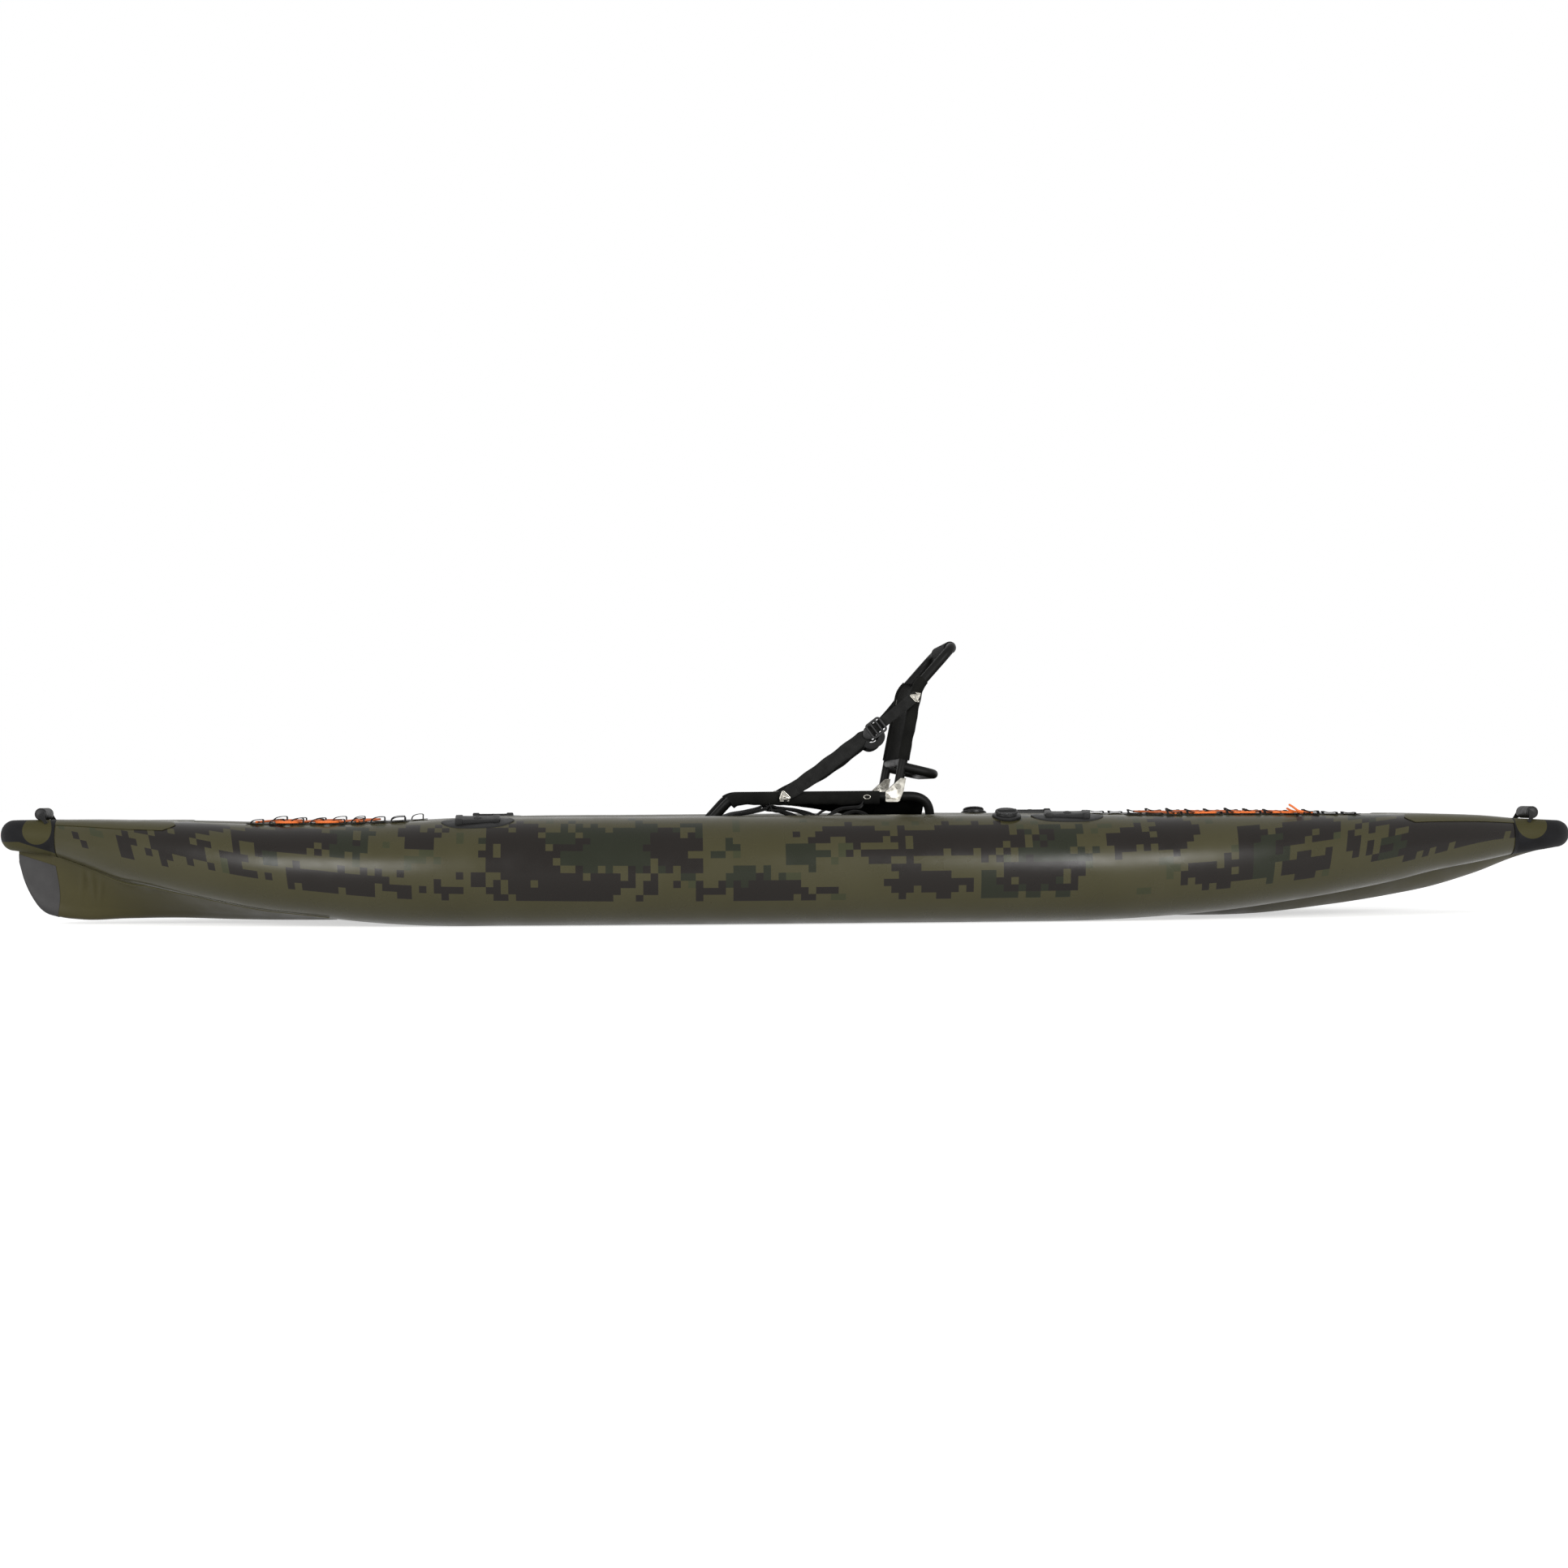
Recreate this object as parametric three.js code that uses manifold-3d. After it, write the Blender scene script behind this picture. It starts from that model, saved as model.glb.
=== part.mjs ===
import * as THREE from "three";
import { mergeVertices } from "three/addons/utils/BufferGeometryUtils.js";
import Module from "manifold-3d";

const wasm = await Module();
wasm.setup();

// An inflatable sit-on fishing kayak. Lengths are in millimetres.
// The bow points to -X, port is -Y and +Z is up. The tubes rest on Z = 0.

// Driving sizes
const boat = { length: 3860, width: 990, tubeDiameter: 254, endSpread: 42 };
const fit = { gap: 0.3, overrun: 12, leastStationStep: 55 };
const floorPanel = { thickness: 110, squeeze: 5, tipLength: 120, tipShare: 0.35 };
const fabric = { bottomSkin: 3, deckSkin: 3 };
const keel = { edgeHalfWidth: 9, aftHalfWidth: 70, topFill: 12 };
const bowNose = { rise: 6, tipHalfHeight: 37, handleSetBack: 12 };
const sternNose = { rise: 5, tipHalfHeight: 32.5, handleSetBack: 30 };
const gearMount = {
  length: 105,
  width: 34,
  height: 7.5,
  lugLength: 17,
  lugHeight: 9.5,
  bossDiameter: 20,
  bossHeight: 9,
  patchThickness: 2,
  patchOverhang: 23,
};
const valve = {
  flangeDiameter: 68,
  flangeHeight: 5,
  barrelDiameter: 44,
  barrelDepth: 26,
  rimDiameter: 48,
  rimHeight: 4,
  boreDiameter: 30,
  floorThickness: 4,
  capThickness: 5,
  capPlug: 3,
  capOverhang: 3,
  capRibWidth: 8,
  capRibHeight: 3,
  stroke: 5,
  poppetDisc: 3,
  stemDiameter: 9,
};
const daisy = {
  webWidth: 25,
  webThickness: 1.6,
  loopLength: 31,
  loopHeight: 11,
  loopThickness: 2,
  bowPitch: 49,
  sternPitch: 48,
};
const bungee = { diameter: 5, lift: 0.5, outboardTurn: 24 };
const handle = {
  gripDiameter: 30,
  gripLength: 98,
  webWidth: 22,
  webThickness: 3,
  neckWidth: 8,
  neckHeight: 9,
  arm: 26,
  rootRadius: 4,
  restGap: 0.7,
};
const seat = {
  tubeDiameter: 22,
  crossTubeDiameter: 19,
  railOverhang: 9,
  footClear: 36,
  railHeight: 297,
  railFrontX: -134,
  rearX: 338,
  footX: -293,
  footLength: 60,
  crossTubeDrop: 82,
  bendRadius: 50,
  runnerStart: 32,
};
const sling = { frontX: -118, backX: 224, thickness: 4, frontSag: 12, backSag: 62, tuck: 5 };
const back = {
  pivotX: 262,
  pivotRise: 23,
  bendX: 310,
  bendRise: 261,
  topX: 396,
  topRise: 357,
  crossTubeRise: 80,
  rearBarRise: 71,
  rearBarTipX: 350,
  rearBarTipRise: 52,
  rearBarBend: 45,
  slingBottomRise: 95,
  slingTopRise: 269,
  slingThickness: 4,
  slingBow: 22,
  gripDiameter: 30,
  gripInset: 75,
};
const bracket = {
  sheet: 2.2,
  reach: 50,
  height: 60,
  boltX: 237,
  boltDiameter: 8,
  headDiameter: 13,
  headHeight: 3.5,
  stopHeight: 30,
  webLength: 20,
};
const anchor = { bandWidth: 14, bandThickness: 2.2, tabLength: 22, tabHeight: 20, tabThickness: 2.4 };
const strap = {
  lowerX: -10,
  lowerRise: 2,
  upperX: 302,
  upperRise: 236,
  sleeveWidth: 36,
  webWidth: 25,
  thickness: 5,
  taper: 14,
  buckleAt: 272,
};
const buckle = { length: 46, width: 44, thickness: 4, barWidth: 7, barHeight: 3 };
const tieDown = { width: 24, thickness: 2.4, drop: 46, clear: 1.1, frontX: -118, backX: 216 };
const footBrace = { x: -800, diameter: 50, endClear: 9, strapWidth: 38, strapThickness: 2.5, strapLength: 230 };

// Along the hull: place as a share of the half length, tube radius as a share of the full
// radius, and the height of the tube's underside as a share of the tube diameter
const tubeShares = [
  [-0.93, 0.331, 0.673],
  [-0.873, 0.472, 0.528],
  [-0.836, 0.56, 0.433],
  [-0.771, 0.661, 0.327],
  [-0.708, 0.748, 0.224],
  [-0.653, 0.811, 0.146],
  [-0.584, 0.866, 0.087],
  [-0.511, 0.929, 0.031],
  [-0.431, 0.984, 0],
  [-0.35, 1, 0],
  [-0.18, 1, 0],
  [0, 1, 0],
  [0.14, 1, 0],
  [0.24, 0.992, 0],
  [0.4, 0.965, 0.012],
  [0.45, 0.94, 0.032],
  [0.526, 0.898, 0.075],
  [0.615, 0.811, 0.157],
  [0.699, 0.709, 0.252],
  [0.754, 0.63, 0.327],
  [0.809, 0.535, 0.417],
  [0.88, 0.425, 0.504],
  [0.925, 0.331, 0.567],
];
// The hull bottom's centre line: place, and height as a share of the tube diameter
const bellyShares = [
  [-0.7, 0.157],
  [-0.64, 0.1],
  [-0.584, 0.055],
  [-0.5, 0.03],
  [-0.43, 0.02],
  [0.43, 0.02],
  [0.595, 0.03],
  [0.678, 0.094],
  [0.761, 0.173],
  [0.828, 0.264],
  [0.88, 0.378],
  [0.932, 0.528],
  [0.966, 0.602],
];
// The bow keel's lower edge, from the forefoot back
const keelShares = [
  [-0.976, 0.6],
  [-0.97, 0.429],
  [-0.965, 0.335],
  [-0.9596, 0.256],
  [-0.9544, 0.193],
  [-0.9492, 0.146],
  [-0.944, 0.114],
  [-0.93, 0.075],
  [-0.897, 0.039],
  [-0.836, 0.05],
  [-0.771, 0.055],
  [-0.708, 0.04],
  [-0.653, 0.03],
  [-0.6, 0.026],
  [-0.57, 0.026],
];
const planShares = { reach: 0.9326, power: 2.8 };
const wearPatchShares = { back: -0.929, frontTop: 0.65, backTop: 0.57 };
const deckShares = { bowBack: -0.757, sternFront: 0.77 };
const floorShares = { bow: -0.69, stern: 0.7 };
const skinBowShare = -0.57;
const noseTaperShare = 0.72;
const nosePlanPower = 2.6;
const gearMountShares = { bow: -0.381, stern: 0.336 };
const valveShare = 0.2617;
const floorValveShare = 0.321;
const daisyShares = { bow: -0.67, stern: 0.41 };
const tubeSides = 24;
const deckEdgeAngle = 52.5;
const bowMountAngle = 72;
const sternMountAngle = 77;
const valveAngle = 75;

const halfLength = boat.length / 2;
const tubeRadius = boat.tubeDiameter / 2;
const tubeSpread = boat.width / 2 - tubeRadius;
const seatRadius = seat.tubeDiameter / 2;
const seatCrossZ = seat.railHeight - seat.crossTubeDrop;
const pivotZ = seat.railHeight + back.pivotRise;
const bendZ = seat.railHeight + back.bendRise;
const topZ = seat.railHeight + back.topRise;
const backCrossZ = seat.railHeight + back.crossTubeRise;
const rearBarZ = seat.railHeight + back.rearBarRise;
const rearBarTipZ = seat.railHeight + back.rearBarTipRise;
const strapLowerZ = seat.railHeight + strap.lowerRise;
const strapUpperZ = seat.railHeight + strap.upperRise;
const tieDownLow = seat.railHeight - tieDown.drop;
const tieDownHigh = seat.railHeight - seatRadius - tieDown.clear;
// The seat stands between the tubes, its feet clear of them and its rails just over them
const seatHalfWidth = tubeSpread - tubeRadius + seat.railOverhang;
const footHalfWidth = tubeSpread - tubeRadius - seat.footClear;
const port = -1;
const starboard = 1;
const degree = Math.PI / 180;
const uprightTilt = Math.atan2(bendZ - pivotZ, back.bendX - back.pivotX);
const facetAngle = 360 / tubeSides;

const finishes = {
  tube: { color: "#3d3e26", roughness: 0.45, metalness: 0 },
  bottom: { color: "#45401f", roughness: 0.5, metalness: 0 },
  charcoal: { color: "#2b2a2c", roughness: 0.6, metalness: 0 },
  wearPatch: { color: "#4f4c4c", roughness: 0.7, metalness: 0 },
  floor: { color: "#33342a", roughness: 0.7, metalness: 0 },
  moulding: { color: "#1c1c1d", roughness: 0.55, metalness: 0 },
  webbing: { color: "#161616", roughness: 0.9, metalness: 0 },
  bungee: { color: "#e8742c", roughness: 0.8, metalness: 0 },
  powderCoat: { color: "#171716", roughness: 0.4, metalness: 0.2 },
  meshFabric: { color: "#141414", roughness: 0.95, metalness: 0 },
  stainless: { color: "#b9b6ae", roughness: 0.3, metalness: 1 },
  foamGrip: { color: "#121212", roughness: 0.85, metalness: 0 },
};

const kayak = new THREE.Group();
const material = Object.fromEntries(
  Object.entries(finishes).map(([name, finish]) => [name, new THREE.MeshStandardMaterial(finish)]),
);

function add(name, geometry, finish, parent = kayak) {
  const mesh = new THREE.Mesh(geometry, material[finish]);
  mesh.name = name;
  parent.add(mesh);
  return mesh;
}

// Closed geometry to solid and back, for cuts and joins
function solidOf(geometry) {
  const source = geometry.index ? geometry.toNonIndexed() : geometry;
  const bare = new THREE.BufferGeometry();
  bare.setAttribute("position", source.getAttribute("position"));
  const merged = mergeVertices(bare, 1e-4);
  return new wasm.Manifold(
    new wasm.Mesh({
      numProp: 3,
      vertProperties: merged.attributes.position.array,
      triVerts: new Uint32Array(merged.index.array),
    }),
  );
}

function geometryOf(solid) {
  const mesh = solid.getMesh();
  const geometry = new THREE.BufferGeometry();
  geometry.setAttribute("position", new THREE.BufferAttribute(mesh.vertProperties, 3));
  geometry.setIndex(new THREE.BufferAttribute(mesh.triVerts, 1));
  geometry.computeVertexNormals();
  return geometry;
}

function cut(geometry, ...tools) {
  return geometryOf(tools.reduce((solid, tool) => solid.subtract(solidOf(tool)), solidOf(geometry)));
}

function join(geometry, ...others) {
  return geometryOf(others.reduce((solid, other) => solid.add(solidOf(other)), solidOf(geometry)));
}

function common(geometry, other) {
  return geometryOf(solidOf(geometry).intersect(solidOf(other)));
}

// Signed area of a ring seen along its main axis, with the ring's flat points
function flatRing(ring) {
  const normal = new THREE.Vector3();
  ring.forEach((point, i) => {
    const next = ring[(i + 1) % ring.length];
    normal.x += (point.y - next.y) * (point.z + next.z);
    normal.y += (point.z - next.z) * (point.x + next.x);
    normal.z += (point.x - next.x) * (point.y + next.y);
  });
  const size = [Math.abs(normal.x), Math.abs(normal.y), Math.abs(normal.z)];
  const axis = size.indexOf(Math.max(...size));
  const flat = ring.map((point) => {
    if (axis === 0) return new THREE.Vector2(point.y, point.z);
    if (axis === 1) return new THREE.Vector2(point.z, point.x);
    return new THREE.Vector2(point.x, point.y);
  });
  return { flat, turn: Math.sign(THREE.ShapeUtils.area(flat)) };
}

// Skin over rings of equal count, closed round each ring and capped at both ends
function loft(rings) {
  const count = rings[0].length;
  const index = [];
  for (let r = 0; r + 1 < rings.length; r++) {
    for (let i = 0; i < count; i++) {
      const a = r * count + i;
      const b = r * count + ((i + 1) % count);
      index.push(a, b, a + count, b, b + count, a + count);
    }
  }
  for (const [ring, first, sense] of [
    [rings[0], 0, -1],
    [rings[rings.length - 1], (rings.length - 1) * count, 1],
  ]) {
    const { flat, turn } = flatRing(ring);
    for (const [a, b, c] of THREE.ShapeUtils.triangulateShape(flat, [])) {
      const side = THREE.ShapeUtils.area([flat[a], flat[b], flat[c]]) * turn * sense;
      index.push(...(side > 0 ? [first + a, first + b, first + c] : [first + a, first + c, first + b]));
    }
  }
  const geometry = new THREE.BufferGeometry();
  const places = rings.flat().flatMap((point) => [point.x, point.y, point.z]);
  geometry.setAttribute("position", new THREE.Float32BufferAttribute(places, 3));
  geometry.setIndex(index);
  return facingOut(geometry);
}

function facingOut(geometry) {
  const place = geometry.attributes.position;
  const order = geometry.index.array;
  const [a, b, c] = [new THREE.Vector3(), new THREE.Vector3(), new THREE.Vector3()];
  let volume = 0;
  for (let i = 0; i < order.length; i += 3) {
    a.fromBufferAttribute(place, order[i]);
    b.fromBufferAttribute(place, order[i + 1]);
    c.fromBufferAttribute(place, order[i + 2]);
    volume += a.dot(b.cross(c));
  }
  if (volume < 0) {
    for (let i = 0; i < order.length; i += 3) [order[i + 1], order[i + 2]] = [order[i + 2], order[i + 1]];
  }
  geometry.computeVertexNormals();
  return geometry;
}

// Plate whose outline lies in the XZ plane, between two distances from the centre plane
function sidePlate(outline, fromY, toY) {
  const shape = new THREE.Shape(outline.map(([x, z]) => new THREE.Vector2(x, z)));
  const geometry = new THREE.ExtrudeGeometry(shape, { depth: Math.abs(toY - fromY), bevelEnabled: false });
  geometry.rotateX(Math.PI / 2);
  return geometry.translate(0, Math.max(fromY, toY), 0);
}

function box(length, width, height) {
  return new THREE.BoxGeometry(length, width, height);
}

function polygonShape(radius, sides) {
  const points = Array.from({ length: sides }, (_, i) => {
    const angle = ((i + 0.5) * 2 * Math.PI) / sides;
    return new THREE.Vector2(radius * Math.cos(angle), radius * Math.sin(angle));
  });
  return new THREE.Shape(points);
}

// Path through corner points with each corner rounded
function bentPath(corners, bendRadius) {
  const path = new THREE.CurvePath();
  let from = corners[0];
  for (let i = 1; i + 1 < corners.length; i++) {
    const into = corners[i].clone().sub(corners[i - 1]).normalize();
    const out = corners[i + 1].clone().sub(corners[i]).normalize();
    const tangent = bendRadius * Math.tan(into.angleTo(out) / 2);
    const start = corners[i].clone().addScaledVector(into, -tangent);
    const end = corners[i].clone().addScaledVector(out, tangent);
    path.add(new THREE.LineCurve3(from, start));
    path.add(new THREE.QuadraticBezierCurve3(start, corners[i], end));
    from = end;
  }
  path.add(new THREE.LineCurve3(from, corners[corners.length - 1]));
  return path;
}

function tubeAlong(path, radius, sides, steps) {
  return new THREE.ExtrudeGeometry(polygonShape(radius, sides), {
    steps,
    extrudePath: path,
    bevelEnabled: false,
  });
}

function crossBar(radius, x, z, halfSpan, sides = 10) {
  return new THREE.CylinderGeometry(radius, radius, 2 * halfSpan, sides).translate(x, 0, z);
}

// Straight-line reading of a table at a place
function readTable(rows, x, column) {
  const last = rows.length - 1;
  if (x <= rows[0].x) return rows[0][column];
  if (x >= rows[last].x) return rows[last][column];
  const i = rows.findIndex((row) => row.x > x) - 1;
  const share = (x - rows[i].x) / (rows[i + 1].x - rows[i].x);
  return THREE.MathUtils.lerp(rows[i][column], rows[i + 1][column], share);
}

function placesBetween(rows, from, to) {
  return [from, ...rows.map((row) => row.x).filter((x) => x > from && x < to), to];
}

// Places with near neighbours left out
function apart(places) {
  const kept = [places[0]];
  for (const x of places.slice(1, -1)) {
    if (x - kept[kept.length - 1] > fit.leastStationStep) kept.push(x);
  }
  return [...kept, places[places.length - 1]];
}

function planOffset(x) {
  const reach = planShares.reach * halfLength;
  const fall = Math.pow(Math.min(1, Math.abs(x) / reach), planShares.power);
  return boat.endSpread + (tubeSpread - boat.endSpread) * (1 - fall);
}

const tubeStations = tubeShares.map(([xShare, radiusShare, liftShare]) => {
  const x = xShare * halfLength;
  const radius = radiusShare * tubeRadius;
  return { x, radius, y: planOffset(x), z: liftShare * boat.tubeDiameter + radius };
});
const bellyStations = bellyShares.map(([xShare, liftShare]) => ({
  x: xShare * halfLength,
  z: liftShare * boat.tubeDiameter,
}));
const keelStations = keelShares.map(([xShare, liftShare]) => ({
  x: xShare * halfLength,
  z: liftShare * boat.tubeDiameter,
}));
const bowTubeEnd = tubeStations[0];
const sternTubeEnd = tubeStations[tubeStations.length - 1];

function tubeAt(x) {
  return {
    radius: readTable(tubeStations, x, "radius"),
    y: readTable(tubeStations, x, "y"),
    z: readTable(tubeStations, x, "z"),
  };
}

// Point over a side tube. The angle is 0 outboard, 90 on top and 180 inboard.
function onTube(x, side, angle, offset) {
  const { radius, y, z } = tubeAt(x);
  const fromFacet = angle - Math.round(angle / facetAngle) * facetAngle;
  const reach = (radius + offset) / Math.cos(fromFacet * degree);
  return new THREE.Vector3(
    x,
    side * (y + reach * Math.cos(angle * degree)),
    z + reach * Math.sin(angle * degree),
  );
}

function sideTube(side, offset) {
  const cornerAngles = Array.from({ length: tubeSides }, (_, i) => (i + 0.5) * facetAngle);
  return loft(tubeStations.map(({ x }) => cornerAngles.map((angle) => onTube(x, side, angle, offset))));
}

// Band laid on a side tube between two angles
function tubeBand(side, fromX, toX, fromAngle, toAngle, offset, thickness) {
  const angles = [fromAngle];
  for (let corner = 0.5; corner < tubeSides; corner++) {
    const angle = corner * facetAngle;
    if (angle > fromAngle && angle < toAngle) angles.push(angle);
  }
  angles.push(toAngle);
  const inner = [...angles].reverse();
  return loft(
    placesBetween(tubeStations, fromX, toX).map((x) => [
      ...angles.map((angle) => onTube(x, side, angle, offset + thickness)),
      ...inner.map((angle) => onTube(x, side, angle, offset)),
    ]),
  );
}

// Floor panel section: a flat slab with round sides, from tube to tube
function floorBottom(x) {
  return readTable(bellyStations, x, "z") + fabric.bottomSkin + fit.gap;
}

function floorTop(x) {
  return floorBottom(x) + floorPanel.thickness;
}

function floorHalfFlat(x) {
  const { radius, y, z } = tubeAt(x);
  const round = floorPanel.thickness / 2;
  const touch = radius + round;
  const drop = Math.min(Math.abs(z - floorBottom(x) - round), touch);
  return Math.max(0, y - Math.sqrt(touch * touch - drop * drop));
}

function floorRing(x, growth) {
  const round = floorPanel.thickness / 2;
  const middle = floorBottom(x) + round;
  const toBow = x - floorShares.bow * halfLength;
  const toStern = floorShares.stern * halfLength - x;
  const toTip = THREE.MathUtils.clamp(Math.min(toBow, toStern) / floorPanel.tipLength, 0, 1);
  const tip = THREE.MathUtils.lerp(floorPanel.tipShare, 1, Math.sqrt(1 - (1 - toTip) * (1 - toTip)));
  const flat = (floorHalfFlat(x) + floorPanel.squeeze) * tip;
  const arcSteps = 5;
  const ring = [];
  for (const [side, fromAngle] of [
    [starboard, -90],
    [port, 90],
  ]) {
    for (let i = 0; i <= arcSteps; i++) {
      const angle = (fromAngle + (180 * i) / arcSteps) * degree;
      const reach = round + growth;
      ring.push(new THREE.Vector3(x, side * flat + reach * Math.cos(angle), middle + reach * Math.sin(angle)));
    }
  }
  return ring;
}

function floorSolid(growth) {
  const bow = floorShares.bow * halfLength;
  const stern = floorShares.stern * halfLength;
  const tip = floorPanel.tipLength;
  const rows = [...tubeStations, ...bellyStations].sort((a, b) => a.x - b.x);
  const places = [
    bow - growth,
    bow + tip * 0.08,
    bow + tip * 0.35,
    ...apart(placesBetween(rows, bow + tip, stern - tip)),
    stern - tip * 0.35,
    stern - tip * 0.08,
    stern + growth,
  ];
  return loft(places.map((x) => floorRing(x, growth)));
}

// Hull bottom: one skin from tube underside to tube underside, flat below the floor panel
function bottomRing(x) {
  const { radius, y, z } = tubeAt(x);
  const low = readTable(bellyStations, x, "z");
  const edgeY = y - 0.3 * radius;
  const edgeZ = z - 0.8 * radius;
  const toStern = THREE.MathUtils.mapLinear(x, floorShares.stern * halfLength, sternTubeEnd.x, 1, 0.1);
  const panel = floorHalfFlat(x) + floorPanel.squeeze;
  const flat = Math.min(panel * THREE.MathUtils.clamp(toStern, 0.1, 1), edgeY * 0.8);
  const half = [0, 0.3, 0.6, 1].map((share) => [
    THREE.MathUtils.lerp(flat, edgeY, share),
    THREE.MathUtils.lerp(low, edgeZ, Math.pow(share, 1.5)),
  ]);
  const lower = [
    ...half.map(([py, pz]) => new THREE.Vector3(x, -py, pz)).reverse(),
    ...half.map(([py, pz]) => new THREE.Vector3(x, py, pz)),
  ];
  const upper = lower.map((point) => point.clone().setZ(point.z + fabric.bottomSkin)).reverse();
  return [...lower, ...upper];
}

function bottomSkin() {
  const from = skinBowShare * halfLength + fit.gap;
  const to = bellyStations[bellyStations.length - 1].x;
  const rows = [...tubeStations, ...bellyStations].sort((a, b) => a.x - b.x);
  return loft(apart(placesBetween(rows, from, to)).map(bottomRing));
}

// Bow keel: a V below the bow, filled up to the tubes and the nose
function noseUnderside(nose, end, x) {
  const along = Math.abs(x - end.x) / (halfLength - Math.abs(end.x));
  const rise = nose.rise * along;
  return end.z + rise - THREE.MathUtils.lerp(end.radius, nose.tipHalfHeight, along);
}

function keelRing({ x, z }) {
  const ahead = x < bowTubeEnd.x;
  const { radius, y, z: tubeZ } = tubeAt(x);
  const edgeShare = (x - keelStations[0].x) / (skinBowShare * halfLength - keelStations[0].x);
  const foot = THREE.MathUtils.lerp(keel.edgeHalfWidth, keel.aftHalfWidth, edgeShare);
  const pinch = (x - keelStations[0].x) / (bowTubeEnd.x - keelStations[0].x);
  const narrow = ahead ? THREE.MathUtils.lerp(0.4, 1, pinch) : 1;
  const reachY = Math.max(y * narrow, foot * 1.2);
  const reachZ = ahead ? noseUnderside(bowNose, bowTubeEnd, x) + keel.topFill / 2 : tubeZ - 0.86 * radius;
  const topZ = ahead ? reachZ + keel.topFill / 2 : tubeZ - 0.15 * radius;
  const half = [
    [foot, z + 0.02 * (reachZ - z)],
    [THREE.MathUtils.lerp(foot, reachY, 0.22), THREE.MathUtils.lerp(z, reachZ, 0.25)],
    [THREE.MathUtils.lerp(foot, reachY, 0.5), THREE.MathUtils.lerp(z, reachZ, 0.55)],
    [THREE.MathUtils.lerp(foot, reachY, 0.78), THREE.MathUtils.lerp(z, reachZ, 0.82)],
    [reachY, reachZ],
    [reachY * 0.7, topZ],
  ];
  const starboardHalf = half.map(([py, pz]) => new THREE.Vector3(x, py, pz));
  const portHalf = half.map(([py, pz]) => new THREE.Vector3(x, -py, pz)).reverse();
  return [new THREE.Vector3(x, 0, z), ...starboardHalf, ...portHalf];
}

// Nose wrap: the rounded block that closes both tubes at one end of the boat
function noseSection(nose, end, along, growth) {
  const taper = Math.min(1, along / noseTaperShare);
  const rounding = Math.max(0, (along - noseTaperShare) / (1 - noseTaperShare));
  const round = Math.sqrt(1 - Math.min(0.93, rounding * rounding));
  const plan = Math.sqrt(1 - Math.min(0.97, Math.pow(along, nosePlanPower)));
  const halfHeight = THREE.MathUtils.lerp(end.radius, nose.tipHalfHeight, taper) * round + growth;
  return {
    halfHeight,
    shoulder: Math.max(0, (end.y + end.radius) * plan + growth - halfHeight),
    z: end.z + nose.rise * taper,
  };
}

function noseWrap(nose, end, growth) {
  const toEnd = Math.sign(end.x);
  const start = end.x + toEnd * (fit.gap - growth);
  const tip = toEnd * (halfLength + growth);
  const sides = 24;
  const alongShares = [0, 0.25, 0.5, 0.72, 0.82, 0.9, 0.96, 1];
  return loft(
    alongShares.map((along) => {
      const { halfHeight, shoulder, z } = noseSection(nose, end, along, growth);
      return Array.from({ length: sides }, (_, i) => {
        const angle = ((i + 0.5) * 2 * Math.PI) / sides;
        return new THREE.Vector3(
          THREE.MathUtils.lerp(start, tip, along),
          Math.sign(Math.cos(angle)) * shoulder + halfHeight * Math.cos(angle),
          z + halfHeight * Math.sin(angle),
        );
      });
    }),
  );
}

// Deck panel: a skin laid over both tubes
function deckPanel(fromX, toX) {
  const angles = [deckEdgeAngle, deckEdgeAngle + facetAngle, 90 - facetAngle / 2, 90 + facetAngle / 2];
  const inner = fit.gap;
  const outer = fit.gap + fabric.deckSkin;
  const over = (x, offset) => [
    ...angles.map((angle) => onTube(x, starboard, angle, offset)),
    ...[...angles].reverse().map((angle) => onTube(x, port, angle, offset)),
  ];
  return loft(placesBetween(tubeStations, fromX, toX).map((x) => [...over(x, outer), ...over(x, inner).reverse()]));
}

// A group that stands on a side tube, its own +Z pointing straight out of the tube
function groupOnTube(x, side, angle, offset) {
  const group = new THREE.Group();
  group.position.copy(onTube(x, side, angle, offset));
  group.rotation.x = side * (angle - 90) * degree;
  kayak.add(group);
  group.updateMatrixWorld(true);
  return group;
}

function inFrameOf(group, geometry) {
  return geometry.clone().applyMatrix4(group.matrixWorld.clone().invert());
}

function addGearMount(name, x, side, angle) {
  const group = groupOnTube(x, side, angle, fit.gap + gearMount.patchThickness);
  const root = gearMount.bossHeight;
  const slab = (length, width, height) =>
    box(length, width, height + root).translate(0, 0, (height - root) / 2);
  const lugX = (gearMount.length - gearMount.lugLength) / 2;
  const boss = new THREE.CylinderGeometry(
    gearMount.bossDiameter / 2,
    gearMount.bossDiameter / 2,
    gearMount.bossHeight,
    16,
  );
  boss.rotateX(Math.PI / 2).translate(0, 0, gearMount.bossHeight / 2);
  const block = join(
    slab(gearMount.length, gearMount.width, gearMount.height),
    slab(gearMount.lugLength, gearMount.width, gearMount.lugHeight).translate(lugX, 0, 0),
    slab(gearMount.lugLength, gearMount.width, gearMount.lugHeight).translate(-lugX, 0, 0),
    boss,
  );
  const seated = cut(block, inFrameOf(group, sideTube(side, fit.gap)));
  const spread = (gearMount.width / 2 + gearMount.patchOverhang / 3) / tubeRadius / degree;
  const halfPatch = gearMount.length / 2 + gearMount.patchOverhang;
  const patch = tubeBand(
    side,
    x - halfPatch,
    x + halfPatch,
    angle - spread,
    angle + spread,
    fit.gap,
    gearMount.patchThickness,
  );
  add(name, join(seated, inFrameOf(group, patch)), "moulding", group);
}

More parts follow.
